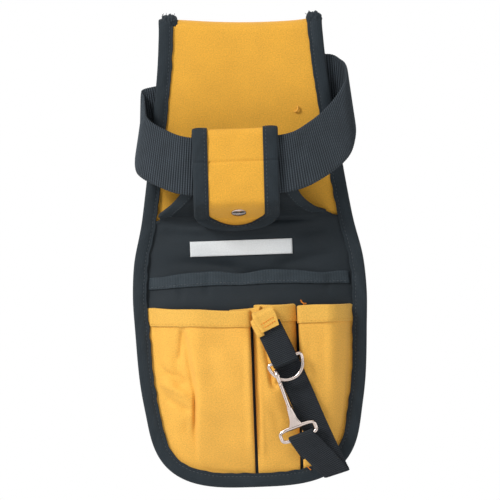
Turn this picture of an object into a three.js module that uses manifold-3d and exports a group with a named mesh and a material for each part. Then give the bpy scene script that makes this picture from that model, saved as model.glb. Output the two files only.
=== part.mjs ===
// Electrician tool pouch, worn on a belt. Millimetres, +Z up; the front faces -Y and +X is to the right.
// The origin is at the middle of the belt tunnel's height and width, in the plane of the back panel.
import * as THREE from 'three';
import { mergeVertices } from 'three/addons/utils/BufferGeometryUtils.js';
import Module from 'manifold-3d';

const wasm = await Module();
wasm.setup();

// ---- Driving dimensions -------------------------------------------------------------------------
const GAP = 0.3; // clearance between pieces that touch
const CLOTH = 1.2; // coated polyester cloth, two turns where it is hemmed
const SKIN = 1.0; // skin and lining of the back panel
const BOARD = 2.0; // stiffening board
const TAPE = 1.0; // binding tape
const TAPE_WIDTH = 12.5; // visible width of the binding tape

const TOP_Z = 58; // top of the fold
const BOTTOM_Z = -347.5;
const ROUND_Z = -285; // where the sides turn into the round bottom
const ROUND_POWER = 3.2;
const SIDE_TAPER = 0.16; // narrowing per millimetre at the start of the round bottom
const SIDES = [[ROUND_Z, 93], [-263, 96.5], [-212, 100], [-178, 101], [-152, 99], [-118, 91.5], [-90, 87],
  [-35, 79.5], [20, 72.6], [TOP_Z, 70]]; // [height, half width]

const PANEL_Y = -2.5; // middle of the back panel's skin
const FLAP_Y = 14.6; // middle of the flap behind the belt tunnel
const FLAP_HALF = 66;
const FLAP_END_Z = -55; // where the flap turns in to its seam
const SEAM_Z = -72;
const SEAM_Y = 2.6;

const UPPER_MOUTH_Z = -113;
const MIDDLE_MOUTH_Z = -162.5;
const LOWER_MOUTH_Z = -190.5;
const HEM_DROP = 3.5; // how much lower a pocket's mouth is at its sides
const UPPER_DEPTH = 11.5; // how far each panel stands forward of its edge
const MIDDLE_DEPTH = 18;
const LOWER_DEPTH = 26;
const CROWN_POWER = 2.4;
const SEAM_LEFT_X = 1; // the two seams between the lower pockets
const SEAM_RIGHT_X = 39.5;

const TAB_X = -7; // middle of the snap tab
const TAB_HALF = 36.5;
const BAND_WIDTH = 50; // webbing of the tool loop
const BAND = 2.0;
const STRAP_WIDTH = 22; // webbing of the tape strap
const STRAP = 1.4;

const SNAP_R = 6.5;
const RING_WIRE = 3.0;
const RING_HALF = 15; // half width and depth of the ring's bow, at the middle of its wire
const RING_DEPTH = 18;
const HOOK_WIRE = 3.2;
const HOOK_REACH = 48.1; // from the crossbar to the middle of the nose
const NOSE_R = 4.9; // bend of the nose, at the middle of the wire
const METAL_Y = -42.4; // plane of the ring and the hook's eye

// ---- Materials ----------------------------------------------------------------------------------
const finish = (color, roughness, metalness = 0) => () =>
  new THREE.MeshStandardMaterial({ color, roughness, metalness });
const yellow = finish(0xe8a93a, 0.75);
const black = finish(0x23292e, 0.8);
const tape = finish(0x2c343a, 0.85);
const webbing = finish(0x2a3036, 0.9);
const nickel = finish(0xc9c5c0, 0.25, 1);
const grey = finish(0xc8cacb, 0.5);
const board = finish(0x8a8a86, 0.9);

// ---- Small helpers ------------------------------------------------------------------------------
const V = (x, y, z) => new THREE.Vector3(x, y, z);
const steps = (n) => Array.from({ length: n + 1 }, (_, i) => i / n);
const mix = THREE.MathUtils.lerp;
const clamp = THREE.MathUtils.clamp;
const rad = THREE.MathUtils.degToRad;

// A function in straight steps through [at, value] pairs.
function straight(pairs) {
  const line = new THREE.LinearInterpolant(pairs.map((p) => p[0]), pairs.map((p) => p[1]), 1);
  return (at) => line.evaluate(at)[0];
}

// A smooth function through [at, value] pairs.
function through(pairs) {
  const curve = new THREE.CubicInterpolant(pairs.map((p) => p[0]), pairs.map((p) => p[1]), 1);
  return (at) => curve.evaluate(at)[0];
}

const sideWidth = through(SIDES);

// Half the pouch's width at a height, less an inset: the sides, then a superellipse for the bottom.
function halfWidth(z, inset = 0) {
  if (z >= ROUND_Z) return sideWidth(z) - inset;
  const s = Math.min(1, (ROUND_Z - z) / (ROUND_Z - BOTTOM_Z - inset));
  const taper = SIDES[0][1] - inset + SIDE_TAPER * (z - ROUND_Z);
  return taper * (1 - s ** ROUND_POWER) ** (1 / ROUND_POWER);
}

// Heights from low to high, closer together towards the round bottom.
function heights(low, high, n) {
  const turn = Math.min(high, ROUND_Z);
  const round = steps(9).map((t) => mix(low, turn, 1 - Math.cos((t * Math.PI) / 2)));
  return high > turn ? [...round, ...steps(n).slice(1).map((t) => mix(turn, high, t))] : round;
}

// A closed body lofted over sections, each a ring of points. A strip section is a front row and then the
// back row in reverse; its ends are closed pair by pair, and a round section's ends by a fan.
function loft(sections, { closed = false, strip = true } = {}) {
  const m = sections[0].length;
  const rows = sections.length;
  const index = [];
  for (let r = 0; r < (closed ? rows : rows - 1); r++) {
    for (let i = 0; i < m; i++) {
      const a = r * m + i;
      const b = r * m + ((i + 1) % m);
      const c = ((r + 1) % rows) * m + i;
      const d = ((r + 1) % rows) * m + ((i + 1) % m);
      index.push(a, b, d, a, d, c);
    }
  }
  const cap = (at, flip) => {
    const face = (...corners) => index.push(...(flip ? corners.reverse() : corners).map((k) => at + k));
    for (let i = 0; i < m / 2 - 1; i++) {
      if (!strip) continue;
      face(i, m - 1 - i, m - 2 - i);
      face(i, m - 2 - i, i + 1);
    }
    for (let i = 1; !strip && i < m - 1; i++) face(0, i + 1, i);
  };
  if (!closed) {
    cap(0, false);
    cap((rows - 1) * m, true);
  }
  const points = sections.flat();
  const volume = index.reduce((sum, _, k) => (k % 3 ? sum
    : sum + points[index[k]].dot(V(0, 0, 0).crossVectors(points[index[k + 1]], points[index[k + 2]]))), 0);
  if (volume < 0) index.reverse();
  const geometry = new THREE.BufferGeometry().setFromPoints(points);
  geometry.setIndex(index);
  geometry.computeVertexNormals();
  return geometry;
}

// A sheet of cloth of one thickness, from rows of points on its outer face; back leads to its inner face.
function sheet(rows, thickness, back = V(0, 1, 0)) {
  const at = (r, i) => rows[clamp(r, 0, rows.length - 1)][clamp(i, 0, rows[0].length - 1)];
  return loft(rows.map((row, r) => {
    const inner = row.map((p, i) => {
      const along = at(r + 1, i).clone().sub(at(r - 1, i));
      const across = at(r, i + 1).clone().sub(at(r, i - 1));
      const normal = along.cross(across).normalize();
      if (normal.dot(back) < 0) normal.negate();
      return p.clone().addScaledVector(normal, thickness);
    });
    return [...row, ...inner.reverse()];
  }));
}

// Flat webbing: a rectangle carried along points, with its width direction given at each one.
function ribbon(points, widths, width, thickness, closed = false) {
  const n = points.length;
  const at = (i) => points[closed ? (i + n) % n : clamp(i, 0, n - 1)];
  return loft(points.map((p, i) => {
    const along = at(i + 1).clone().sub(at(i - 1)).normalize();
    const side = widths[i].clone().normalize();
    const face = along.cross(side).normalize().multiplyScalar(thickness / 2);
    side.multiplyScalar(width / 2);
    const corner = (a, b) => p.clone().addScaledVector(side, a).addScaledVector(face, b);
    return [corner(-1, -1), corner(1, -1), corner(1, 1), corner(-1, 1)];
  }), { closed });
}

// Round wire bent into a closed loop that lies flat in the plane of u and v about a centre.
function wireLoop(outline, centre, u, v, wire, sides = 10) {
  const normal = u.clone().cross(v).normalize();
  const n = outline.length;
  return loft(outline.map((p, i) => {
    const ahead = outline[(i + 1) % n].clone().sub(outline[(i + n - 1) % n]).normalize();
    const out = u.clone().multiplyScalar(ahead.y).addScaledVector(v, -ahead.x);
    const at = centre.clone().addScaledVector(u, p.x).addScaledVector(v, p.y);
    return steps(sides).slice(1).map((t) => at.clone()
      .addScaledVector(out, (Math.cos(2 * Math.PI * t) * wire) / 2)
      .addScaledVector(normal, (Math.sin(2 * Math.PI * t) * wire) / 2));
  }), { closed: true, strip: false });
}

function toSolid(geometry) {
  const bare = geometry.clone();
  for (const name of ['normal', 'uv']) bare.deleteAttribute(name);
  const merged = mergeVertices(bare, 1e-4);
  return new wasm.Manifold(new wasm.Mesh({
    numProp: 3,
    vertProperties: new Float32Array(merged.attributes.position.array),
    triVerts: new Uint32Array(merged.index.array),
  }));
}

function fromSolid(solid) {
  const { vertProperties, triVerts } = solid.getMesh();
  const geometry = new THREE.BufferGeometry();
  geometry.setAttribute('position', new THREE.BufferAttribute(new Float32Array(vertProperties), 3));
  geometry.setIndex(new THREE.BufferAttribute(new Uint32Array(triVerts), 1));
  geometry.computeVertexNormals();
  return geometry;
}

const pouch = new THREE.Group();

function add(name, geometry, material, parent = pouch) {
  const mesh = new THREE.Mesh(geometry, material());
  mesh.name = name;
  parent.add(mesh);
  return mesh;
}

// ---- Back panel: skin with its roll and flap, board, lining ---------------------------------------
const ROLL_Y = (PANEL_Y + FLAP_Y) / 2;
const ROLL_R = (FLAP_Y - PANEL_Y) / 2;
const ROLL_Z = TOP_Z - ROLL_R - SKIN / 2;
const EDGE_INSET = TAPE + GAP + 0.9; // cloth stops this far inside the outer edge

function backPanel() {
  const row = (half, y, z, out) => {
    const at = V(0, y, z).addScaledVector(out, SKIN / 2);
    const inner = V(0, y, z).addScaledVector(out, -SKIN / 2);
    return [V(-half, at.y, at.z), V(half, at.y, at.z), V(half, inner.y, inner.z), V(-half, inner.y, inner.z)];
  };
  const front = V(0, -1, 0);
  const rear = V(0, 1, 0);
  const low = BOTTOM_Z + EDGE_INSET + 0.8;
  const rows = heights(low, ROLL_Z, 12).map((z) => row(halfWidth(z, EDGE_INSET), PANEL_Y, z, front));
  const top = halfWidth(ROLL_Z, EDGE_INSET);
  for (const t of steps(10).slice(1)) {
    const out = V(0, -Math.cos(Math.PI * t), Math.sin(Math.PI * t));
    rows.push(row(mix(top, FLAP_HALF, t), ROLL_Y + ROLL_R * out.y, ROLL_Z + ROLL_R * out.z, out));
  }
  rows.push(row(FLAP_HALF, FLAP_Y, FLAP_END_Z, rear));
  const turnIn = new THREE.CubicBezierCurve(...[[FLAP_Y, FLAP_END_Z], [FLAP_Y, FLAP_END_Z - 9],
    [SEAM_Y, SEAM_Z + 12], [SEAM_Y, SEAM_Z]].map(([y, z]) => new THREE.Vector2(y, z)));
  for (const t of steps(7).slice(1)) {
    const at = turnIn.getPoint(t);
    const ahead = turnIn.getTangent(t);
    rows.push(row(FLAP_HALF, at.x, at.y, V(0, -ahead.y, ahead.x).normalize()));
  }
  return loft(rows);
}

// A flat layer cut to the pouch's outline.
function layer(top, yFront, thickness) {
  const rows = heights(BOTTOM_Z + EDGE_INSET + 0.8, top, 12).map((z) => {
    const half = halfWidth(z, EDGE_INSET);
    const yRear = yFront + thickness;
    return [V(-half, yFront, z), V(half, yFront, z), V(half, yRear, z), V(-half, yRear, z)];
  });
  return loft(rows);
}

add('back_panel', backPanel(), yellow);
const BOARD_Y = PANEL_Y + SKIN / 2 + GAP;
const LINING_Y = BOARD_Y + BOARD + GAP;
const BACK_Y = LINING_Y + SKIN; // rear face of the lining
const LINING_TOP = ROLL_Z - 13.5;
add('stiffener_board', layer(LINING_TOP, BOARD_Y, BOARD), board);
add('rear_lining', layer(LINING_TOP, LINING_Y, SKIN), black);

// ---- Pocket panels --------------------------------------------------------------------------------
const FRONT_Y = PANEL_Y - SKIN / 2; // front face of the back panel
const UPPER_EDGE_Y = FRONT_Y - GAP - CLOTH;
const MIDDLE_EDGE_Y = UPPER_EDGE_Y - GAP - CLOTH;
const LOWER_EDGE_Y = MIDDLE_EDGE_Y - GAP - CLOTH;

// How full the pockets are at a height: full down to the seam heights, then running out to the bottom.
const fullness = (z) => Math.sin((Math.PI / 2) * clamp((z - BOTTOM_Z - TAPE_WIDTH - 1) / 105, 0, 1));
const innerHalf = (z) => Math.max(halfWidth(Math.max(z, BOTTOM_Z + TAPE_WIDTH + 2), TAPE_WIDTH + 1.5), 4);

// Front face of a full-width panel: flat under the binding, crowned between.
function crownY(x, z, edge, depth) {
  const u = Math.min(1, Math.abs(x) / innerHalf(z));
  return edge - depth * fullness(z) * (1 - u ** CROWN_POWER);
}

const POCKET_LOW = BOTTOM_Z + EDGE_INSET + 1.5;
const ACROSS = steps(14).map((t) => mix(-1, 1, t));

function panelRow(z, edge, depth, zAt = () => z) {
  const half = halfWidth(z, EDGE_INSET);
  const inner = Math.min(innerHalf(z), half - 1);
  const xs = [-half, ...ACROSS.map((u) => u * inner), half];
  return xs.map((x) => V(x, crownY(x, z, edge, depth), zAt(x / half)));
}

// A pocket panel whose mouth dips towards its sides.
function pocketPanel(mouth, edge, depth) {
  const low = heights(POCKET_LOW, mouth - 14, 7).map((z) => panelRow(z, edge, depth));
  const top = steps(2).slice(1).map((t) => {
    const z = mix(mouth - 14, mouth, t);
    return panelRow(z, edge, depth, (u) => z - t * HEM_DROP * u * u);
  });
  return sheet([...low, ...top], CLOTH);
}

add('middle_pocket_panel', pocketPanel(MIDDLE_MOUTH_Z, MIDDLE_EDGE_Y, MIDDLE_DEPTH), black);

// The upper panel carries on above its mouth as a neck, which steps forward under the tool loop and stands
// up behind it as the fixed leg of the snap tab. Each row is [height, middle y, edge y, left x, right x].
const NECK_Y = -40.8;
const NECK = [
  [-114.6, -16.5, -4.9, -75.5, 74.5],
  [-111.6, -17, -7, -75, 69],
  [-109.6, -20.8, -11.5, -74, 62.5],
  [-107.6, -26, -15, -71.5, 58],
  [-105, -32, -19, -68, 54],
  [-102.2, -37.5, -24, -64, 50.5],
  [-97.5, -40.6, -31, -59, 46],
  [-91, NECK_Y, -37, -53.5, 41.5],
  [-82, NECK_Y, NECK_Y + 0.9, TAB_X - TAB_HALF - 2, TAB_X + TAB_HALF + 2],
  [-64, NECK_Y - 0.4, NECK_Y, TAB_X - TAB_HALF, TAB_X + TAB_HALF],
  [-42, NECK_Y - 0.4, NECK_Y - 0.4, TAB_X - TAB_HALF, TAB_X + TAB_HALF],
];

function neckRow([z, middle, edge, left, right]) {
  return [-1, ...ACROSS, 1].map((u, i, all) => {
    const end = i === 0 || i === all.length - 1;
    const x = mix(left, right, (u * (end ? 1 : 0.93) + 1) / 2);
    return V(x, end ? edge : mix(middle, edge, Math.abs(u) ** CROWN_POWER), z);
  });
}

function upperPanel() {
  const low = heights(POCKET_LOW, UPPER_MOUTH_Z - 3, 9).map((z) => panelRow(z, UPPER_EDGE_Y, UPPER_DEPTH));
  const rows = [...low, ...NECK.map(neckRow)];
  return sheet(rows, CLOTH, V(0, 1, 0.4));
}

add('upper_pocket_panel', upperPanel(), black);

// ---- Lower pockets --------------------------------------------------------------------------------
const lowerHeights = (mouth, low = POCKET_LOW) => [...heights(low, mouth - 14, 6), mouth - 7, mouth];
const middleFront = (x, z) => crownY(x, z, MIDDLE_EDGE_Y, MIDDLE_DEPTH);

// A side pocket, from under the edge binding to a rounded fold at its seam and back in to the panel.
function sidePocket(side, seam, low) {
  return sheet(lowerHeights(LOWER_MOUTH_Z, low).map((z) => {
    const depth = LOWER_DEPTH * fullness(z);
    const out = LOWER_EDGE_Y - depth;
    const inner = innerHalf(z);
    const home = middleFront(seam, z) - GAP - 0.1;
    const fold = seam + side * 0.9;
    const outer = Math.max(inner, side * fold + 8);
    const edge = Math.max(halfWidth(z, EDGE_INSET), outer + 1);
    const rise = steps(8).map((t) => V(side * mix(outer, side * fold + 6, t), mix(LOWER_EDGE_Y, out,
      Math.sin((Math.PI / 2) * Math.min(1, t * 1.8)) ** 0.9), z));
    const reach = Math.max(0.8, Math.min(2.2, (home - out) / 3));
    const bend = steps(3).map((t) => V(fold + side * reach * (1 - Math.sin((Math.PI / 2) * t)),
      out + reach * (1 - Math.cos((Math.PI / 2) * t)), z));
    return [V(side * edge, LOWER_EDGE_Y, z), ...rise, ...bend, V(fold, Math.max(home, out + reach + 0.4), z)];
  }), CLOTH, V(side, 1.6, 0));
}

// The pocket between the seams is shallower.
function centrePocket() {
  const left = SEAM_LEFT_X + 1.2;
  const right = SEAM_RIGHT_X - 1.2;
  return sheet(lowerHeights(LOWER_MOUTH_Z + 1).map((z) => steps(8).map((t) => {
    const x = mix(left, right, t);
    const swell = 8.5 * fullness(z) * Math.sin(Math.PI * t) ** 0.8;
    return V(x, middleFront(x, z) - GAP - CLOTH - 0.2 - swell, z);
  })), CLOTH);
}

add('lower_pocket_left', sidePocket(-1, SEAM_LEFT_X - 1.2), yellow);
add('lower_pocket_middle', centrePocket(), yellow);
add('lower_pocket_right', sidePocket(1, SEAM_RIGHT_X + 1.2, POCKET_LOW + 5), yellow);

// ---- Edge binding -----------------------------------------------------------------------------------
// Front of the stack of layers under the binding, at a height.
const stackFront = straight([[BOTTOM_Z, LOWER_EDGE_Y - 2], [-322, LOWER_EDGE_Y - 1.6],
  [-177, LOWER_EDGE_Y - 1.2], [-165, MIDDLE_EDGE_Y - 0.8], [-152, MIDDLE_EDGE_Y - 0.8],
  [-140, UPPER_EDGE_Y - 0.6], [-97, UPPER_EDGE_Y - 0.6], [-84, FRONT_Y - GAP], [TOP_Z, FRONT_Y - GAP]]);

// The right-hand edge from the middle of the bottom to the start of the roll, evenly spaced.
function rightEdge(count) {
  const zs = steps(60).map((t) => mix(ROUND_Z, ROLL_Z, t));
  const round = steps(40).slice(0, -1).map((t) => {
    const angle = (Math.PI / 2) * t;
    const s = Math.cos(angle) ** (2 / ROUND_POWER);
    const z = ROUND_Z - s * (ROUND_Z - BOTTOM_Z);
    return new THREE.Vector2(t ? halfWidth(z) : 0, z);
  });
  const side = zs.map((z) => new THREE.Vector2(halfWidth(z), z));
  return new THREE.SplineCurve([...round, ...side]).getSpacedPoints(count);
}

function bindingRow(p, inward, out, front, rear) {
  const at = (across, along) => p.clone().addScaledVector(inward, across).addScaledVector(out, along);
  const wide = TAPE_WIDTH;
  const outer = [at(wide, -rear - TAPE), at(0, -rear - TAPE), at(0, front + TAPE), at(wide, front + TAPE)];
  const inner = [at(wide, -rear), at(TAPE, -rear), at(TAPE, front), at(wide, front)];
  return [...outer, ...inner.reverse()];
}

function edgeBinding() {
  const edge = rightEdge(38);
  const rear = BACK_Y + GAP - PANEL_Y;
  const half = edge.map((p, i) => {
    const ahead = edge[Math.min(i + 1, edge.length - 1)].clone().sub(edge[Math.max(i - 1, 0)]).normalize();
    const inward = i === 0 ? V(0, 0, 1) : V(-ahead.y, 0, ahead.x);
    const slim = clamp((p.y - ROLL_Z + 3) / 3, 0, 1);
    return { p: V(p.x, PANEL_Y, p.y), inward, out: V(0, -1, 0), front: PANEL_Y - stackFront(p.y),
      rear: mix(rear, SKIN / 2 + GAP, slim) };
  });
  const top = halfWidth(ROLL_Z);
  for (const t of steps(6).slice(1)) {
    const angle = rad(100) * t;
    const out = V(0, -Math.cos(angle), Math.sin(angle));
    half.push({ p: V(top, ROLL_Y + ROLL_R * out.y, ROLL_Z + ROLL_R * out.z), inward: V(-1, 0, 0), out,
      front: SKIN / 2 + GAP, rear: SKIN / 2 + GAP });
  }
  const flip = (v) => V(-v.x, v.y, v.z);
  const left = half.slice(1).reverse().map((s) => ({ ...s, p: flip(s.p), inward: flip(s.inward) }));
  return loft([...left, ...half].map((s) => bindingRow(s.p, s.inward, s.out, s.front, s.rear)));
}

add('edge_binding', edgeBinding(), tape);

// Tape folded over each bound edge of the neck, from the side seam up to the tab's fold.
function neckBinding(side) {
  const rows = NECK.slice(1).map(neckRow)
    .map((row) => (side < 0 ? row.slice(0, 2) : row.slice(-2).reverse()));
  return loft(rows.map(([edge, next], i) => {
    const ahead = rows[Math.min(i + 1, rows.length - 1)][0].clone().sub(rows[Math.max(i - 1, 0)][0]);
    const inward = next.clone().sub(edge).normalize();
    const out = ahead.cross(inward).normalize();
    if (out.y > 0) out.negate();
    const start = edge.clone().addScaledVector(out, -CLOTH / 2).addScaledVector(inward, -TAPE - GAP - 0.5);
    const reach = CLOTH / 2 + GAP + 0.5;
    const at = (across, along) => start.clone().addScaledVector(inward, across).addScaledVector(out, along);
    const outer = [at(5, reach + TAPE), at(0, reach + TAPE), at(0, -reach - TAPE), at(5, -reach - TAPE)];
    const inner = [at(5, reach), at(TAPE, reach), at(TAPE, -reach), at(5, -reach)];
    return [...outer, ...inner.reverse()];
  }));
}

add('neck_binding_left', neckBinding(-1), tape);
add('neck_binding_right', neckBinding(1), tape);

// ---- Tool loop --------------------------------------------------------------------------------------
// Middle of the webbing and the way its width runs, round the loop from behind the panel to the right.
const LOOP_BACK_Y = BACK_Y + GAP + TAPE + GAP + BAND / 2;
const LOOP = [
  [V(0, LOOP_BACK_Y, -12), V(-0.15, 0, 1)],
  [V(40, LOOP_BACK_Y, -6), V(-0.14, 0, 1)],
  [V(74, LOOP_BACK_Y, -0.5), V(-0.05, 0, 1)],
  [V(87, LOOP_BACK_Y - 1, -6), V(-0.04, 0.02, 1)],
  [V(92.5, -4, -12.5), V(-0.1, 0, 1)],
  [V(91.5, -16, -26), V(-0.16, 0, 1)],
  [V(81.5, -27, -43), V(-0.28, 0.1, 1)],
  [V(62, -37.3, -58.5), V(-0.24, 0.1, 1)],
  [V(37, -44.9, -69), V(-0.08, 0.03, 1)],
  [V(-7, -45.3, -70.5), V(0, 0, 1)],
  [V(-50, -44.9, -69), V(0.08, 0.03, 1)],
  [V(-73, -37, -60.5), V(0.16, 0.1, 1)],
  [V(-87.5, -26.5, -50.5), V(0.2, 0.08, 1)],
  [V(-91, -12, -39), V(0.12, 0, 1)],
  [V(-91, -1, -31), V(0.05, 0, 1)],
  [V(-87, LOOP_BACK_Y - 0.4, -26.5), V(0, 0, 1)],
  [V(-74, LOOP_BACK_Y, -23.5), V(-0.12, 0, 1)],
  [V(-40, LOOP_BACK_Y, -18.5), V(-0.15, 0, 1)],
];

function toolLoop() {
  const middle = new THREE.CatmullRomCurve3(LOOP.map((s) => s[0]), true);
  const width = new THREE.CatmullRomCurve3(LOOP.map((s) => s[1]), true);
  const at = steps(72).slice(1);
  return ribbon(at.map((t) => middle.getPoint(t)), at.map((t) => width.getPoint(t)), BAND_WIDTH, BAND, true);
}

add('tool_loop_band', toolLoop(), webbing);

// ---- Snap tab ---------------------------------------------------------------------------------------
// The moving leg of the tab, from its fold over the loop's top edge down the front, in under the loop and
// down to its rounded end: [y, z] along its middle.
const FOLD_Y = -45;
const FOLD_Z = -38.6;
const TAB_PATH = [[FOLD_Y - 0.8, FOLD_Z + 1.6], [-48.4, -39.5], [-49.6, -46], [-50.2, -62], [-51, -84],
  [-50, -98], [-46, -103.8], [-37, -108.2], [-28.5, -112], [-23.8, -114.4], [-22.2, -118.5], [-21.8, -125.5]];
const TAB_END = 14; // length over which the end rounds off

const tabCurve = new THREE.CatmullRomCurve3(TAB_PATH.map(([y, z]) => V(TAB_X, y, z)));
const tabLength = tabCurve.getLength();

// Half width of the tab at a distance from its end, less an inset: a round-cornered tongue.
const tongue = (left, inset) => (TAB_HALF - inset)
  * (1 - (1 - clamp(left / (TAB_END - inset), 0, 1)) ** 2.6) ** (1 / 2.6) + 0.01;

function tabRows(count, inset) {
  return steps(count).map((s) => {
    const t = 1 - (1 - s) ** 1.7;
    const p = tabCurve.getPointAt(t);
    const ahead = tabCurve.getTangentAt(t);
    const out = V(0, ahead.z, -ahead.y).normalize();
    const left = (1 - t) * tabLength - inset;
    return { p, out, left };
  }).filter((r) => r.left > 0.6);
}

function tabPanel() {
  const inset = TAPE + GAP + 0.3;
  const half = CLOTH / 2;
  return loft(tabRows(40, inset).map(({ p, out, left }) => {
    const wide = tongue(left, inset);
    const at = (x, along) => V(TAB_X + x, p.y, p.z).addScaledVector(out, along);
    return [at(-wide, half), at(wide, half), at(wide, -half), at(-wide, -half)];
  }));
}

// Tape folded over the tab's two sides and its round end.
function tabBinding() {
  const rows = tabRows(40, 0);
  const edge = rows.map(({ p, out, left }) => ({ p: V(TAB_X + tongue(left, 0), p.y, p.z), out }));
  const last = rows.at(-1);
  const flip = (s) => ({ p: V(2 * TAB_X - s.p.x, s.p.y, s.p.z), out: s.out });
  const tip = { p: V(TAB_X, last.p.y, last.p.z - 0.6), out: last.out };
  const all = [...edge, tip, ...edge.map(flip).reverse()];
  const reach = CLOTH / 2 + GAP + 0.3;
  return loft(all.map(({ p, out }, i) => {
    const ahead = all[Math.min(i + 1, all.length - 1)].p.clone().sub(all[Math.max(i - 1, 0)].p).normalize();
    const inward = ahead.clone().cross(out).normalize();
    const wide = Math.abs(p.x - TAB_X) < 34 ? 4 : TAPE_WIDTH - 0.5;
    const at = (across, along) => p.clone().addScaledVector(inward, across).addScaledVector(out, along);
    const outer = [at(wide, reach + TAPE), at(0, reach + TAPE), at(0, -reach - TAPE),
      at(wide, -reach - TAPE)];
    const inner = [at(wide, reach), at(TAPE, reach), at(TAPE, -reach), at(wide, -reach)];
    return [...outer, ...inner.reverse()];
  }));
}

add('tab_flap', tabPanel(), yellow);
add('tab_binding', tabBinding(), tape);

// ---- Snap fastener ----------------------------------------------------------------------------------
// Its four pieces stand on one line through the sloping part of the tab and the neck behind it.
const SNAP_AT = V(TAB_X, -35.2, -109);
const snap = new THREE.Group();
snap.position.copy(SNAP_AT);
snap.quaternion.setFromUnitVectors(V(0, 0, 1), V(0, -0.44, -0.9).normalize());
pouch.add(snap);

const turned = (profile) => new THREE.LatheGeometry(profile.map(([r, h]) => new THREE.Vector2(r, h)), 28)
  .rotateX(Math.PI / 2);

const SNAP = { // each piece's profile as [radius, height]
  snap_cap: [[0, 0.9], [SNAP_R - 0.6, 0.9], [SNAP_R, 1.5], [SNAP_R - 0.5, 2.2], [3, 3], [0, 3.2]],
  snap_socket: [[1.9, -2.5], [5.2, -2.5], [5.6, -1.9], [5.2, -0.95], [1.9, -0.95], [1.9, -2.5]],
  snap_stud: [[0, -4.5], [4.8, -4.5], [4.6, -3.8], [1.5, -3.4], [1.4, -2.8], [0, -2.8]],
  snap_post: [[0, -8.9], [3.4, -8.6], [5.2, -7.8], [5, -7], [0, -7]],
};
for (const [name, profile] of Object.entries(SNAP)) add(name, turned(profile), nickel, snap);

// ---- Plain reflective strip on the upper pocket --------------------------------------------------------
function reflectiveStrip() {
  const [left, right, low, high] = [-50, 38, -147, -134];
  return sheet([low, high].map((z) => steps(12).map((t) => {
    const x = mix(left, right, t);
    return V(x, crownY(x, z, UPPER_EDGE_Y, UPPER_DEPTH) - 1.1, z);
  })), 0.6);
}

add('reflective_strip', reflectiveStrip(), grey);

// ---- Tape strap with its ring and snap hook --------------------------------------------------------------
// Ways along and across a strap that leans downwards and to the right.
const slant = (degrees) => V(Math.sin(rad(degrees)), 0, -Math.cos(rad(degrees)));
const across = (degrees) => V(Math.cos(rad(degrees)), 0, Math.sin(rad(degrees)));
const STRAP_SLANT = 21;
const RETURN_SLANT = 34;
const ANCHOR = V(15.6, -45.6, -210.5);
const SWING_AT = 2; // the strap swings about a line this far down it from the anchor
const RING_BAR = V(27.5, METAL_Y, -237.5);
const LOOP_SLACK = 1.4; // how far the keeper's fold hangs below the ring's bar
const EYE_BAR = V(40.4, METAL_Y, -304.8);
const EYE_SLANT = 18.4;
const EYE_RISE = 10.2; // from the eye's lower bar to the crossbar
const EYE_HALF = 15.6;
const EYE_ASIDE = 1.4; // how far the eye's middle lies to the left of its wedge
const EYE_POWER = 5; // how square the eye's corners are

// Yellow strip folded over the strap's sewn end.
function anchorTab() {
  const down = slant(24);
  const at = (y, along) => V(ANCHOR.x, y, ANCHOR.z).addScaledVector(down, along);
  const rear = -36.6;
  const front = -47.4;
  const bend = steps(6).map((t) => at(mix(rear, front, (1 - Math.cos(Math.PI * t)) / 2),
    -12 - 4.4 * Math.sin(Math.PI * t)));
  const path = [at(rear, 2), ...bend, at(front, 1)];
  return ribbon(path, path.map(() => across(24)), 20, 2);
}

add('strap_anchor_tab', anchorTab(), yellow);

// The short ply that holds the ring: down behind the ring's bar, round it and up in front.
function ringKeeper() {
  const down = slant(STRAP_SLANT);
  const bend = RING_WIRE / 2 + GAP + 0.1 + STRAP / 2;
  const turn = steps(8).map((t) => V(RING_BAR.x, RING_BAR.y + bend * Math.cos(Math.PI * t), RING_BAR.z)
    .addScaledVector(down, LOOP_SLACK + bend * Math.sin(Math.PI * t)));
  const start = V(ANCHOR.x, -42.9, ANCHOR.z).addScaledVector(down, SWING_AT + GAP);
  const end = V(ANCHOR.x, -45.2, ANCHOR.z).addScaledVector(down, SWING_AT + GAP);
  const path = [start, start.clone().lerp(turn[0], 0.5), ...turn, end.clone().lerp(turn.at(-1), 0.5), end];
  return ribbon(path, path.map(() => across(STRAP_SLANT)), STRAP_WIDTH - 0.5, STRAP);
}

add('ring_keeper', ringKeeper(), webbing);

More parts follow.
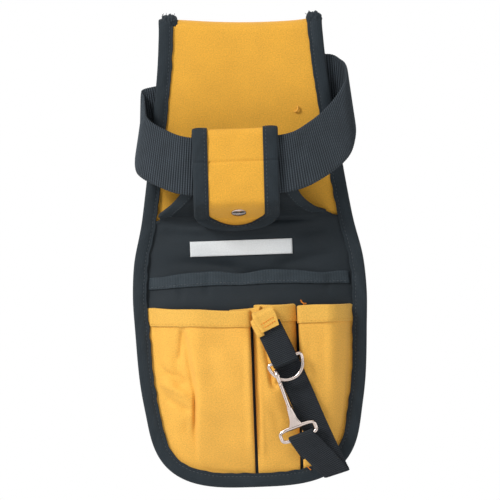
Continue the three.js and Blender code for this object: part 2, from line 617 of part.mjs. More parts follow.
// The long strap: down behind the ring, folded up at the bottom and round the bar of the hook's eye.
function tapeStrap() {
  const down = slant(STRAP_SLANT);
  const back = slant(RETURN_SLANT);
  const bend = HOOK_WIRE / 2 + 0.8 + STRAP / 2;
  const start = V(ANCHOR.x, -41, ANCHOR.z).addScaledVector(down, SWING_AT + GAP);
  const run = [[30, -35.4, 1.8], [60, -34, 2.8], [90, -32.8, 3]].map(([along, y, aside]) =>
    V(start.x + aside, y, start.z).addScaledVector(down, along));
  const fold = [V(66.3, -32.9, -331), V(68.4, -33.6, -335.6), V(68.9, -35.2, -337.4), V(67.5, -36.9, -336)];
  const wrap = steps(6).map((t) => V(EYE_BAR.x, EYE_BAR.y - bend * Math.cos(Math.PI * t), EYE_BAR.z)
    .addScaledVector(slant(EYE_SLANT), -bend * Math.sin(Math.PI * t)));
  const rise = [0.3, 0.75].map((t) => fold.at(-1).clone().lerp(wrap[0], t));
  const tail = wrap.at(-1).clone().addScaledVector(back, 18).add(V(0, -0.2, 0));
  const path = [start, ...run, ...fold, ...rise, ...wrap, tail];
  const turns = [STRAP_SLANT, STRAP_SLANT, STRAP_SLANT, STRAP_SLANT, STRAP_SLANT, 18, 16, 18, 30,
    RETURN_SLANT - 4, ...wrap.map(() => EYE_SLANT), RETURN_SLANT - 8];
  const curve = new THREE.CatmullRomCurve3(path);
  const turn = through(turns.map((value, i) => [i / (turns.length - 1), value]));
  const at = steps(100);
  return ribbon(at.map((t) => curve.getPoint(t)), at.map((t) => across(turn(t))), STRAP_WIDTH - 1, STRAP);
}

add('tape_strap', tapeStrap(), webbing);

// D-shaped ring: a straight bar in the keeper and a bow below it.
function dRing() {
  const u = across(STRAP_SLANT);
  const v = slant(STRAP_SLANT);
  const bow = steps(24).map((t) => {
    const angle = Math.PI * t;
    return new THREE.Vector2(RING_HALF * Math.cos(angle), 2 + (RING_DEPTH - 2) * Math.sin(angle));
  });
  const bar = steps(4).map((t) => new THREE.Vector2(mix(2 - RING_HALF, RING_HALF - 2, t), 0));
  return wireLoop([...bow, ...bar], RING_BAR, u, v, RING_WIRE);
}

add('d_ring', dRing(), nickel);

// The hook's own frame: up its length, across it, and forwards.
const HOOK_TILT = 18.2;
const hookUp = slant(HOOK_TILT).negate();
const hookSide = across(HOOK_TILT);
const HOOK_BASE = V(35.2, METAL_Y, -294.6);
const hookAt = (along, side, front) => HOOK_BASE.clone().addScaledVector(hookUp, along)
  .addScaledVector(hookSide, side).add(V(0, -front, 0));
const toHook = new THREE.Matrix4().makeBasis(hookSide.clone().negate(), V(0, -1, 0), hookUp)
  .setPosition(HOOK_BASE);

function tube(curve, segments, wire, sides = 10) {
  const ring = new THREE.Shape().absarc(0, 0, wire / 2, 0, 2 * Math.PI);
  return new THREE.ExtrudeGeometry(ring, {
    steps: segments, curveSegments: sides, extrudePath: curve, bevelEnabled: false,
  });
}

const PIN_AT = 9; // height of the gate's pin above the crossbar

// A tapered block of the hook through sections of [height, half width, rear, front].
const hookBlock = (sections) => loft(sections.map(([z, x, rear, front]) =>
  [V(-x, rear, z), V(x, rear, z), V(x, front, z), V(-x, front, z)])).applyMatrix4(toHook);

// Tapered block, spine, nose and eye in one casting.
function hookBody() {
  const wedge = hookBlock([[-2.6, 5.2, -2.8, 3], [8, 4.2, -5.8, 6.2], [14, 3.5, -6.2, 6.3],
    [25, 1.8, -6.4, -3]]);
  const nose = steps(10).map((t) => {
    const angle = Math.PI * t;
    return hookAt(HOOK_REACH - NOSE_R + 1.2 + NOSE_R * Math.sin(angle), 0, -NOSE_R * Math.cos(angle));
  });
  const spine = new THREE.CatmullRomCurve3([hookAt(12, 0, -3.8), hookAt(22, 0, -NOSE_R),
    hookAt(31, 0, -NOSE_R), ...nose, hookAt(HOOK_REACH - NOSE_R - 3, 0, NOSE_R - 0.2)]);
  const eye = steps(40).slice(1).map((t) => {
    const angle = 2 * Math.PI * t;
    const round = (value) => Math.sign(value) * Math.abs(value) ** (2 / EYE_POWER);
    return new THREE.Vector2(EYE_HALF * round(Math.cos(angle)) - EYE_ASIDE,
      EYE_RISE / 2 * (round(Math.sin(angle)) - 1));
  });
  const eyeU = across(EYE_SLANT);
  const eyeV = slant(EYE_SLANT).negate();
  const eyeWire = wireLoop(eye, EYE_BAR.clone().addScaledVector(eyeV, EYE_RISE), eyeU, eyeV, HOOK_WIRE);
  const slot = new THREE.BoxGeometry(3.4, 12, 16).translate(0, 7.5, 13.8).applyMatrix4(toHook);
  const hole = new THREE.CylinderGeometry(1.2, 1.2, 14, 20).rotateZ(Math.PI / 2).translate(0, 3.2, PIN_AT)
    .applyMatrix4(toHook);
  return fromSolid(toSolid(wedge).subtract(toSolid(slot)).subtract(toSolid(hole))
    .add(toSolid(tube(spine, 40, HOOK_WIRE))).add(toSolid(eyeWire)));
}

add('hook_body', hookBody(), nickel);

function hookGate() {
  const long = HOOK_REACH - NOSE_R - 5.2;
  const bar = hookBlock([[PIN_AT - 2.2, 1.2, 2.1, 4.8], [PIN_AT + 2, 1.2, 2.1, 5.8],
    [PIN_AT + 9, 1.3, 3.4, 6.2], [long, 1.4, 3.8, 6.2]]);
  const hole = new THREE.CylinderGeometry(1.2, 1.2, 14, 20).rotateZ(Math.PI / 2).translate(0, 3.2, PIN_AT)
    .applyMatrix4(toHook);
  return fromSolid(toSolid(bar).subtract(toSolid(hole)));
}

add('hook_gate', hookGate(), nickel);
add('gate_pin', new THREE.CylinderGeometry(0.9, 0.9, 8.4, 16).rotateZ(Math.PI / 2).translate(0, 3.2, PIN_AT)
  .applyMatrix4(toHook), nickel);

// Leaf spring in the block's slot, behind the gate.
function gateSpring() {
  const path = [[PIN_AT + 3.6, 1.65], [PIN_AT + 7, 1.75], [PIN_AT + 10.5, 2.4], [PIN_AT + 12.5, 2.9]]
    .map(([along, front]) => hookAt(along, 0, front + 0.1));
  return ribbon(path, path.map(() => hookSide.clone()), 2, 0.3);
}

add('gate_spring', gateSpring(), nickel);

export default pouch;
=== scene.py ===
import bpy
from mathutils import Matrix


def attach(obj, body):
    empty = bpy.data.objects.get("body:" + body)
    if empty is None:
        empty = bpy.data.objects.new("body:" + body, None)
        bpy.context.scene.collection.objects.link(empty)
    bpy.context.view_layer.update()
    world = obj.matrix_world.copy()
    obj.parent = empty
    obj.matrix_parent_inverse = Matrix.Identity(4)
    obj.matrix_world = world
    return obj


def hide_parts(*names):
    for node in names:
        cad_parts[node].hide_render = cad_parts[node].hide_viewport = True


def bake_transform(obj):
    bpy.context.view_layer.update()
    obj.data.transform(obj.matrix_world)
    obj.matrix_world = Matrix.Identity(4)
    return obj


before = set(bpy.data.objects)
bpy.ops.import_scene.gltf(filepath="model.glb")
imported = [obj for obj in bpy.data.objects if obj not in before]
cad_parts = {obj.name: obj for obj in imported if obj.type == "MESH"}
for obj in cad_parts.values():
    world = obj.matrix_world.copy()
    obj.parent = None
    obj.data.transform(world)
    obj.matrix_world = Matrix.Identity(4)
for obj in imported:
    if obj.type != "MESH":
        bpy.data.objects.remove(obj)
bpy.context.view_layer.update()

import math

import bmesh
import bpy
import numpy as np
from mathutils import Matrix

bl_info = {
    "name": "Tool Pouch",
    "version": (1, 0, 0),
    "blender": (4, 5, 0),
    "location": "View3D > Sidebar > Tool Pouch",
    "description": "Cloth, webbing and metal of an electrician's belt pouch",
    "category": "Add Mesh",
}

CAMERA_DISTANCE, VIEW_WIDTH, CAMERA_ROLL = 7.0, 0.43, 2.03  # metres, metres, degrees

# Lengths below are millimetres, in the CAD frame; meshes are written in metres.
FLOOR_RADIUS, FLOOR_Z = 2400, -450.0
MM = 0.001
GAP, CLOTH, SKIN, TAPE, TAPE_WIDTH = 0.3, 1.2, 1.0, 1.0, 12.5
TOP_Z, ROUND_Z, BOTTOM_Z = 58.0, -285.0, -347.5
ROUND_POWER, SIDE_TAPER = 3.2, 0.16
SIDES = [(ROUND_Z, 93), (-263, 96.5), (-212, 100), (-178, 101), (-152, 99), (-118, 91.5), (-90, 87),
         (-35, 79.5), (20, 72.6), (TOP_Z, 70)]
PANEL_Y, FLAP_Y, FLAP_HALF, FLAP_END_Z, SEAM_Z, SEAM_Y = -2.5, 14.6, 66.0, -55.0, -72.0, 2.6
ROLL_Y, ROLL_R, ROLL_Z = 6.05, 8.55, 48.95
EDGE_INSET, LINING_Y, NOTCH_Z = 2.2, 1.1, -66.5
PANEL_LOW = BOTTOM_Z + EDGE_INSET + 1.5
FRONT_Y = -3.0
UPPER_EDGE_Y, MIDDLE_EDGE_Y, LOWER_EDGE_Y = -4.5, -6.0, -7.5
UPPER_MOUTH_Z, MIDDLE_MOUTH_Z, LOWER_MOUTH_Z, HEM_DROP = -113.0, -162.5, -190.5, 3.5
UPPER_DEPTH, MIDDLE_DEPTH, LOWER_DEPTH, CROWN_POWER = 11.5, 18.0, 26.0, 2.4
SEAM_LEFT_X, SEAM_RIGHT_X = 1.0, 39.5
TAB_X, TAB_HALF, TAB_END = -7.0, 36.5, 14.0
STRAP_WIDTH, STRAP_SLANT, RETURN_SLANT = 22.0, 21.0, 34.0
ANCHOR = np.array([15.6, -45.6, -210.5])
METAL_Y = -42.4
RING_BAR = np.array([27.5, METAL_Y, -237.5])
EYE_BAR = np.array([40.4, METAL_Y, -304.8])
HOOK_BASE = np.array([35.2, METAL_Y, -294.6])
EYE_SLANT, HOOK_TILT, HOOK_REACH, NOSE_R, PIN_AT = 18.4, 18.2, 48.1, 4.9, 9.0
FORWARD = np.array([0.0, -1.0, 0.0])


# ---- Curves and surfaces ---------------------------------------------------------------------------
def refine(control, count, axis=0):
    """Catmull-Rom curve through control points spaced evenly along one axis, read at count even steps."""
    control = np.moveaxis(np.asarray(control, float), axis, 0)
    slope = np.gradient(control, axis=0)
    at = np.linspace(0, len(control) - 1, count)
    i = np.minimum(at.astype(int), len(control) - 2)
    t = (at - i).reshape((-1,) + (1,) * (control.ndim - 1))
    curve = ((2 * t**3 - 3 * t**2 + 1) * control[i] + (t**3 - 2 * t**2 + t) * slope[i]
             + (3 * t**2 - 2 * t**3) * control[i + 1] + (t**3 - t**2) * slope[i + 1])
    return np.moveaxis(curve, 0, axis)


def run_along(points):
    """Distance along a line of points, from 0 at the first."""
    return np.concatenate([[0], np.cumsum(np.linalg.norm(np.diff(points, axis=0), axis=1))])


def spread(x, y, z):
    """A grid of points from coordinates that each fill the grid, a row, a column or one value."""
    return np.stack(np.broadcast_arrays(x, y, z), -1)


def even(track, count, closed=False):
    """Catmull-Rom curve through the rows of track, read at even steps of its length in x, y and z."""
    track = np.asarray(track, float)
    if closed:
        track = np.concatenate([track[-2:], track, track[:3]])
    fine = refine(track, 24 * (len(track) - 1) + 1)
    if closed:
        fine = fine[48:-48]
    run = run_along(fine[:, :3])
    at = np.linspace(0, run[-1], count + 1)[:-1] if closed else np.linspace(0, run[-1], count)
    return np.stack([np.interp(at, run, column) for column in fine.T], -1)


def smooth(pairs):
    """Cubic Hermite function through (at, value) pairs with finite-difference slopes."""
    at, value = np.array(pairs, float).T
    slope = np.gradient(value, at)

    def curve(x):
        x = np.clip(x, at[0], at[-1])
        i = np.clip(np.searchsorted(at, x) - 1, 0, len(at) - 2)
        h = at[i + 1] - at[i]
        t = (x - at[i]) / h
        return ((2 * t**3 - 3 * t**2 + 1) * value[i] + (t**3 - 2 * t**2 + t) * h * slope[i]
                + (3 * t**2 - 2 * t**3) * value[i + 1] + (t**3 - t**2) * h * slope[i + 1])
    return curve


def unit(vectors):
    """Vectors divided by their lengths."""
    return vectors / np.maximum(np.linalg.norm(vectors, axis=-1, keepdims=True), 1e-9)


def normals(grid, toward=FORWARD):
    """Unit normals of a grid: the cross product of its two slopes, turned towards one side."""
    normal = unit(np.cross(np.gradient(grid, axis=0), np.gradient(grid, axis=1)))
    return np.where((normal @ toward)[..., None] < 0, -normal, normal)


def smoothstep(x, low, high):
    """3t^2 - 2t^3 of the share t of the way from low to high."""
    t = np.clip((x - low) / (high - low), 0, 1)
    return t * t * (3 - 2 * t)


def ripple(a, b, reach, seed):
    """Sum of eight plane waves over (a, b), about reach long, with seeded headings and phases, near +-1."""
    heading, phase, stretch = np.random.default_rng(seed).uniform(0, 1, (3, 8))
    heading, phase, stretch = heading * 2 * np.pi, phase * 2 * np.pi, 0.6 + stretch
    wave = np.asarray(a)[..., None] * np.cos(heading) + np.asarray(b)[..., None] * np.sin(heading)
    return np.sin(wave * 2 * np.pi / (reach * stretch) + phase).sum(-1) / 3


def crease(x, z, start, end, width, depth, lean=0.0):
    """A groove along a line: depth times a bell curve of the distance to it, fading at both ends. Lean
    adds a step that leaves one side of the line lower."""
    start, end = np.array(start, float), np.array(end, float)
    run = end - start
    length = np.hypot(*run)
    dx, dz = x - start[0], z - start[1]
    t = (dx * run[0] + dz * run[1]) / length**2
    off = (dx * run[1] - dz * run[0]) / length
    fade = smoothstep(t, -0.05, 0.3) * (1 - smoothstep(t, 0.75, 1.05))
    return fade * (depth * np.exp(-(off / width) ** 2) + lean * (0.5 + 0.5 * np.tanh(off / width))
                   * np.exp(-(off / (width * 9)) ** 2))


def creases(x, z, rows):
    """The sum of several creases, each given as its start, end, width, depth and perhaps its lean."""
    return sum(crease(x, z, *row) for row in rows)


side_width = smooth(SIDES)


def half_width(z, inset=0.0):
    """Half the pouch's width at a height, less an inset: the sides, then a superellipse at the bottom."""
    z = np.asarray(z, float)
    s = np.clip((ROUND_Z - z) / (ROUND_Z - BOTTOM_Z - inset), 0, 1)
    low = (SIDES[0][1] - inset + SIDE_TAPER * (z - ROUND_Z)) * (1 - s**ROUND_POWER) ** (1 / ROUND_POWER)
    return np.where(z >= ROUND_Z, side_width(z) - inset, low)


def inner_half(z):
    """Half width inside the edge binding."""
    return np.maximum(half_width(np.maximum(z, BOTTOM_Z + TAPE_WIDTH + 2), TAPE_WIDTH + 1.5), 4)


def fullness(z):
    """Quarter sine of the height above the bottom seam: 0 there and 1 from 105 up."""
    return np.sin(np.pi / 2 * np.clip((z - BOTTOM_Z - TAPE_WIDTH - 1) / 105, 0, 1))


def crown(x, z, edge, depth):
    """Front of a full-width panel: the edge's y less depth times fullness times 1 - |u|^2.4."""
    u = np.minimum(1, np.abs(x) / inner_half(z))
    return edge - depth * fullness(z) * (1 - u**CROWN_POWER)


def levels(low, high, count, fine=0.0, fine_count=0):
    """Heights from low to high, closer together towards the round bottom and in the top few."""
    turn = min(high, ROUND_Z)
    t = np.linspace(0, 1, 26)
    part = [low + (turn - low) * (1 - np.cos(t * np.pi / 2))]
    if high > turn:
        part.append(np.linspace(turn, high - fine, count)[1:])
        if fine:
            part.append(np.linspace(high - fine, high, fine_count)[1:])
    return np.concatenate(part)


def fold_over(rows, reach, edge_out, toward=FORWARD, turns=7):
    """A strip folded over the last of its rows: rows lifted by reach on both sides, joined by a half
    circle of that radius about the edge."""
    normal = normals(rows, toward)
    front = rows + normal * reach
    rear = (rows - normal * reach)[::-1]
    angle = np.linspace(0, np.pi, turns + 2)[1:-1, None, None]
    out = unit(np.asarray(edge_out, float))
    bend = rows[-1] + reach * (np.cos(angle) * normal[-1] + np.sin(angle) * out)
    return np.concatenate([front, bend, rear])


# ---- Meshes ----------------------------------------------------------------------------------------
def cloth_uv(grid, wrap):
    """Distance along the cloth each way in metres, counted from its middle row and column."""
    if wrap[0]:
        grid = np.concatenate([grid, grid[:1]], 0)
    if wrap[1]:
        grid = np.concatenate([grid, grid[:, :1]], 1)
    uv = np.zeros(grid.shape[:2] + (2,))
    uv[:, 1:, 0] = np.cumsum(np.linalg.norm(np.diff(grid, axis=1), axis=-1), 1)
    uv[1:, :, 1] = np.cumsum(np.linalg.norm(np.diff(grid, axis=0), axis=-1), 0)
    uv[..., 0] -= uv[:, [grid.shape[1] // 2], 0]
    uv[..., 1] -= uv[[grid.shape[0] // 2], :, 1]
    return uv * MM


def faces_of(rows, columns, wrap):
    """Quads of a grid as vertex indices, and as indices into its unwrapped UV grid."""
    r, c = np.meshgrid(np.arange(rows - (not wrap[0])), np.arange(columns - (not wrap[1])), indexing="ij")
    r, c = r.ravel(), c.ravel()
    turns = [(0, 0), (0, 1), (1, 1), (1, 0)]
    vertices = np.stack([(r + a) % rows * columns + (c + b) % columns for a, b in turns], -1)
    flat = np.stack([(r + a) * (columns + wrap[1]) + c + b for a, b in turns], -1)
    return vertices, flat


def make_mesh(name, points, faces, uv=None):
    """A smooth-shaded mesh object from points in millimetres, quads and a UV for each face corner."""
    mesh = bpy.data.meshes.new(name)
    mesh.from_pydata(points.reshape(-1, 3) * MM, [], faces)
    mesh.polygons.foreach_set("use_smooth", np.ones(len(faces), bool))
    if uv is not None:
        layer = mesh.uv_layers.new(name="Cloth")
        layer.data.foreach_set("uv", uv.ravel())
    mesh.update()
    made = bpy.data.objects.new(name, mesh)
    bpy.context.scene.collection.objects.link(made)
    return made


def weld(piece):
    """Merges the doubled points at closed ends and poles, and points the faces of a closed body outwards."""
    bm = bmesh.new()
    bm.from_mesh(piece.data)
    bmesh.ops.remove_doubles(bm, verts=bm.verts, dist=2e-6)
    bmesh.ops.dissolve_degenerate(bm, edges=bm.edges, dist=1e-7)
    bmesh.ops.recalc_face_normals(bm, faces=bm.faces)
    bm.to_mesh(piece.data)
    bm.free()
    return piece


def finish_piece(piece, material, body, stands_for=()):
    """Gives a piece its material and slot, hides the CAD nodes it stands for and hangs it on a body."""
    piece.data.materials.append(bpy.data.materials[material])
    if stands_for:
        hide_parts(*stands_for)
    if body:
        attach(piece, body)
    return piece


def sheet(name, grid, material, body="pouch", wall=CLOTH, stands_for=(), wrap=(False, False)):
    """A cloth surface over a grid, given its thickness half to each side."""
    vertices, flat = faces_of(*grid.shape[:2], wrap)
    piece = make_mesh(name, grid, vertices, cloth_uv(grid, wrap).reshape(-1, 2)[flat])
    thick = piece.modifiers.new("Cloth thickness", "SOLIDIFY")
    thick.thickness, thick.offset, thick.use_even_offset = wall * MM, 0.0, False
    return finish_piece(piece, material, body, stands_for)


def solid(name, grids, material, body="pouch", stands_for=(), wrap=(False, True), uv=None):
    """A closed body from one or more grids of sections whose end rows close on themselves."""
    points, faces, uvs, start = [], [], [], 0
    for grid in grids:
        vertices, flat = faces_of(*grid.shape[:2], wrap)
        points.append(grid.reshape(-1, 3))
        faces.append(vertices + start)
        uvs.append((cloth_uv(grid, wrap) if uv is None else uv).reshape(-1, 2)[flat])
        start += len(points[-1])
    piece = make_mesh(name, np.concatenate(points), np.concatenate(faces), np.concatenate(uvs))
    return finish_piece(weld(piece), material, body, stands_for)


def webbing(track, width, thickness, rib, across=14, closed=False, lift=0.22):
    """Flat webbing along a track of points and width directions, and its UV of distance across and along
    in metres. Its faces stand half the thickness off the middle, plus lift times |sin| of the length over
    the rib pitch, and its edges scallop with the ribs; open ends close to a line."""
    middle, side = track[:, :3], unit(track[:, 3:6])
    if closed:
        ahead = np.roll(middle, -1, 0) - np.roll(middle, 1, 0)
        run = np.concatenate([middle, middle[:1]])
    else:
        ahead, run = np.gradient(middle, axis=0), middle
    face = unit(np.cross(unit(ahead), side))
    run = run_along(run)
    wave = np.abs(np.sin(np.pi * run / rib))[:len(middle)] ** 1.2
    half = thickness / 2 + lift * (wave - 0.6)
    edge = width / 2 + 0.3 * wave
    if not closed:
        half[[0, -1]] = 0
    u = np.linspace(-1, 1, across)
    round_off = np.sqrt(np.maximum(1 - np.abs(u) ** 14, 0.04))
    flat = middle[:, None] + side[:, None] * (u * edge[:, None])[..., None]
    rise = face[:, None] * (round_off * half[:, None])[..., None]
    u = np.concatenate([u, 2 - u[::-1], [3]]) * width / 2
    uv = np.stack([u + 0 * run[:, None], run[:, None] + 0 * u], -1) * MM
    return np.concatenate([flat + rise, (flat - rise)[:, ::-1]], 1), uv


def wire(path, radius, sides=20, closed=False, plane=None):
    """Circles of a radius carried along a path. Plane is the normal of the plane that the path lies in.
    An open wire ends in two half balls."""
    ahead = unit(np.roll(path, -1, 0) - np.roll(path, 1, 0)) if closed else unit(np.gradient(path, axis=0))
    radius = np.broadcast_to(np.asarray(radius, float), (len(path),)).copy()
    if not closed:
        a = np.linspace(0, np.pi / 2, 6)[1:, None]
        cap = path[-1] + ahead[-1] * radius[-1] * np.sin(a)
        lead = (path[0] - ahead[0] * radius[0] * np.sin(a))[::-1]
        shrink = np.cos(a[:, 0])
        path = np.concatenate([lead, path, cap])
        ahead = np.concatenate([np.repeat(ahead[:1], 5, 0), ahead, np.repeat(ahead[-1:], 5, 0)])
        radius = np.concatenate([radius[0] * shrink[::-1], radius, radius[-1] * shrink])
    flat = np.broadcast_to(np.asarray(plane if plane is not None else [0.013, 1, 0.021], float), path.shape)
    out = unit(np.cross(ahead, flat))
    up = np.cross(out, ahead)
    angle = np.linspace(0, 2 * np.pi, sides, endpoint=False)[None, :, None]
    ring = np.cos(angle) * out[:, None] + np.sin(angle) * up[:, None]
    return path[:, None] + radius[:, None, None] * ring


def stitches(path, normal, pitch, length, radius, lift=0.0, skip=()):
    """Rows of short threads: each is a six-sided spindle of radius r sqrt(1 - t^4) along the path,
    raised off the cloth and dipping at both ends. Returns one grid a stitch."""
    run = run_along(path)
    at = np.arange(pitch, run[-1] - pitch / 2, pitch)
    at = at[[k for k in range(len(at)) if k not in skip]]
    t = np.linspace(-1, 1, 6)
    where = at[:, None] + t * length / 2
    centre = np.stack([np.interp(where, run, path[:, k]) for k in range(3)], -1)
    up = unit(np.stack([np.interp(where, run, normal[:, k]) for k in range(3)], -1))
    ahead = unit(np.gradient(centre, axis=1))
    side = np.cross(ahead, up)
    size = radius * np.sqrt(np.maximum(1 - t**4, 0))
    centre = centre + up * (lift + radius * (0.45 - 0.9 * t**2))[None, :, None]
    angle = np.linspace(0, 2 * np.pi, 6, endpoint=False)
    ring = (np.cos(angle)[:, None, None, None] * side + np.sin(angle)[:, None, None, None] * up)
    return np.moveaxis(centre + ring * size[None, None, :, None], 0, 2)


def thread_piece(name, rows, material, body="pouch"):
    """All the stitches of one thread in a single mesh."""
    grids = np.concatenate(rows)
    count, along, around = grids.shape[:3]
    vertices, _ = faces_of(along, around, (False, True))
    faces = (vertices[None] + (np.arange(count) * along * around)[:, None, None]).reshape(-1, 4)
    piece = make_mesh(name, grids, faces)
    return finish_piece(weld(piece), material, body)


def show_cad(name, material):
    """Leaves a CAD node on show, in a material of this script."""
    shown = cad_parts[name].data.materials
    shown.clear()
    shown.append(bpy.data.materials[material])


# ---- Shader node groups ----------------------------------------------------------------------------
def node(tree, kind, ins=(), **settings):
    """Adds a shader node, with each input linked to a socket or set to a value."""
    made = tree.nodes.new("ShaderNode" + kind)
    for key, value in settings.items():
        setattr(made, key, value)
    for key, value in dict(ins).items():
        if isinstance(value, bpy.types.NodeSocket):
            tree.links.new(value, made.inputs[key])
        else:
            made.inputs[key].default_value = value
    return made


def maths(tree, operation, *values):
    """A Math node's result."""
    return node(tree, "Math", dict(enumerate(values)), operation=operation).outputs[0]


def humps(tree, value):
    """|sin(pi v)|: one hump for each whole step of a value."""
    return maths(tree, "ABSOLUTE", maths(tree, "SINE", maths(tree, "MULTIPLY", value, math.pi)))


def scaled(tree, vector, factor):
    """A vector or colour times a number."""
    return node(tree, "VectorMath", {0: vector, "Scale": factor}, operation="SCALE").outputs["Vector"]


def noise(tree, vector, scale, detail=2.0, roughness=0.55):
    """A noise texture's value."""
    return node(tree, "TexNoise", {"Vector": vector, "Scale": scale, "Detail": detail,
                                   "Roughness": roughness}).outputs["Fac"]


def remap(tree, value, low, high, from_low=0.0, from_high=1.0):
    """A value moved from one range to another."""
    return node(tree, "MapRange", {"Value": value, "From Min": from_low, "From Max": from_high,
                                   "To Min": low, "To Max": high}).outputs["Result"]


def new_group(name, inputs, outputs):
    """An empty shader node group with named sockets, and its input and output nodes."""
    tree = bpy.data.node_groups.new(name, "ShaderNodeTree")
    for socket, kind in inputs:
        tree.interface.new_socket(name=socket, in_out="INPUT", socket_type="NodeSocket" + kind)
    for socket, kind in outputs:
        tree.interface.new_socket(name=socket, in_out="OUTPUT", socket_type="NodeSocket" + kind)
    return tree, tree.nodes.new("NodeGroupInput").outputs, tree.nodes.new("NodeGroupOutput").inputs


SURFACE = [("Colour", "Color"), ("Roughness", "Float"), ("Height", "Float")]


def weave_group():
    """Plain weave: threads one pitch apart that pass over and under each other, with mottled dye and painted
    shade in the dips between the threads.
    """
    tree, given, out = new_group("Plain weave", [("Vector", "Vector"), ("Colour", "Color"),
                                                 ("Pitch", "Float"), ("Mottle and weave shade", "Float")], SURFACE)
    at = scaled(tree, given["Vector"], maths(tree, "DIVIDE", 1.0, given["Pitch"]))
    xyz = node(tree, "SeparateXYZ", {0: at}).outputs
    warp = humps(tree, xyz[0])
    weft = humps(tree, xyz[1])
    over = node(tree, "TexChecker", {"Vector": at, "Scale": 1.0}).outputs["Fac"]
    thread = node(tree, "Mix", {0: over, 2: warp, 3: weft}, data_type="FLOAT").outputs[0]
    grain = noise(tree, given["Vector"], 900.0, 2.0, 0.7)
    patch = noise(tree, given["Vector"], 45.0, 3.0, 0.5)
    # Painted shade: the colour darkens where the threads dip, and the two noises add mottled dye; the mottle
    # setting scales both.
    tone = maths(tree, "ADD", remap(tree, thread, -0.07, 0.03), remap(tree, grain, -0.09, 0.09, 0.3, 0.7))
    tone = maths(tree, "ADD", tone, remap(tree, patch, -0.022, 0.022, 0.3, 0.7))
    tone = maths(tree, "ADD", 1.0, maths(tree, "MULTIPLY", tone, given["Mottle and weave shade"]))
    tree.links.new(scaled(tree, given["Colour"], tone), out["Colour"])
    tree.links.new(remap(tree, patch, 0.63, 0.71, 0.3, 0.7), out["Roughness"])
    tree.links.new(maths(tree, "ADD", thread, maths(tree, "MULTIPLY", grain, 1.3)), out["Height"])
    return tree


def ribs_group():
    """Ribbed webbing: ribs one rib pitch apart that run across the strap, each cut into cords, with painted
    shade in the grooves and painted highlight on the rib and cord tops.
    """
    tree, given, out = new_group("Ribbed webbing", [("Vector", "Vector"), ("Colour", "Color"),
                                                    ("Rib", "Float"), ("Cord", "Float"),
                                                    ("Depth", "Float")], SURFACE)
    xyz = node(tree, "SeparateXYZ", {0: given["Vector"]}).outputs
    column = maths(tree, "DIVIDE", xyz[0], given["Cord"])
    row = maths(tree, "DIVIDE", xyz[1], given["Rib"])
    cord = humps(tree, column)
    rib = humps(tree, row)
    bump = maths(tree, "MULTIPLY", remap(tree, cord, 0.62, 1.0), maths(tree, "POWER", rib, 0.8))
    grain = noise(tree, given["Vector"], 1300.0, 2.0, 0.7)
    patch = noise(tree, given["Vector"], 70.0, 3.0, 0.5)
    # Painted shade and highlight: the colour falls to 1 minus the groove setting in the grooves between ribs
    # and cords, and rises to 1.32 times on their tops.
    low = maths(tree, "SUBTRACT", 1.0, given["Depth"])
    tone = node(tree, "Mix", {0: bump, 2: low, 3: 1.32}, data_type="FLOAT").outputs[0]
    tone = maths(tree, "MULTIPLY", tone, remap(tree, grain, 0.8, 1.2, 0.3, 0.7))
    tone = maths(tree, "MULTIPLY", tone, remap(tree, patch, 0.88, 1.12, 0.3, 0.7))
    tree.links.new(scaled(tree, given["Colour"], tone), out["Colour"])
    tree.links.new(remap(tree, bump, 0.85, 0.62), out["Roughness"])
    tree.links.new(maths(tree, "ADD", bump, maths(tree, "MULTIPLY", grain, 0.35)), out["Height"])
    return tree


def lint_group():
    """Dust and lint: sparse pale flecks and a faint film where a noise is high."""
    tree, given, out = new_group("Lint", [("Vector", "Vector"), ("Colour", "Color"), ("Amount", "Float")],
                                 [("Colour", "Color")])
    cells = node(tree, "TexVoronoi", {"Vector": given["Vector"], "Scale": 260.0}).outputs["Distance"]
    fleck = remap(tree, cells, 1.0, 0.0, 0.03, 0.12)
    keep = remap(tree, noise(tree, given["Vector"], 60.0, 1.0), 0.0, 1.0, 0.55, 0.75)
    film = remap(tree, noise(tree, given["Vector"], 28.0, 4.0, 0.6), 0.0, 0.16, 0.45, 0.8)
    share = maths(tree, "ADD", maths(tree, "MULTIPLY", fleck, keep), film)
    share = maths(tree, "MULTIPLY", share, given["Amount"])
    mixed = node(tree, "Mix", {0: share, 6: given["Colour"], 7: (0.34, 0.35, 0.35, 1)}, data_type="RGBA")
    tree.links.new(mixed.outputs[2], out["Colour"])
    return tree


def plating_group():
    """Plated metal: slow changes of tone with fine handling marks in its gloss."""
    tree, given, out = new_group("Plating", [("Vector", "Vector"), ("Colour", "Color")], SURFACE)
    slow = noise(tree, given["Vector"], 120.0, 3.0)
    fine = noise(tree, given["Vector"], 1500.0, 3.0, 0.7)
    tree.links.new(scaled(tree, given["Colour"], remap(tree, slow, 0.86, 1.08, 0.3, 0.7)), out["Colour"])
    tree.links.new(remap(tree, maths(tree, "ADD", slow, fine), 0.12, 0.3, 0.6, 1.4), out["Roughness"])
    tree.links.new(maths(tree, "ADD", slow, maths(tree, "MULTIPLY", fine, 0.25)), out["Height"])
    return tree


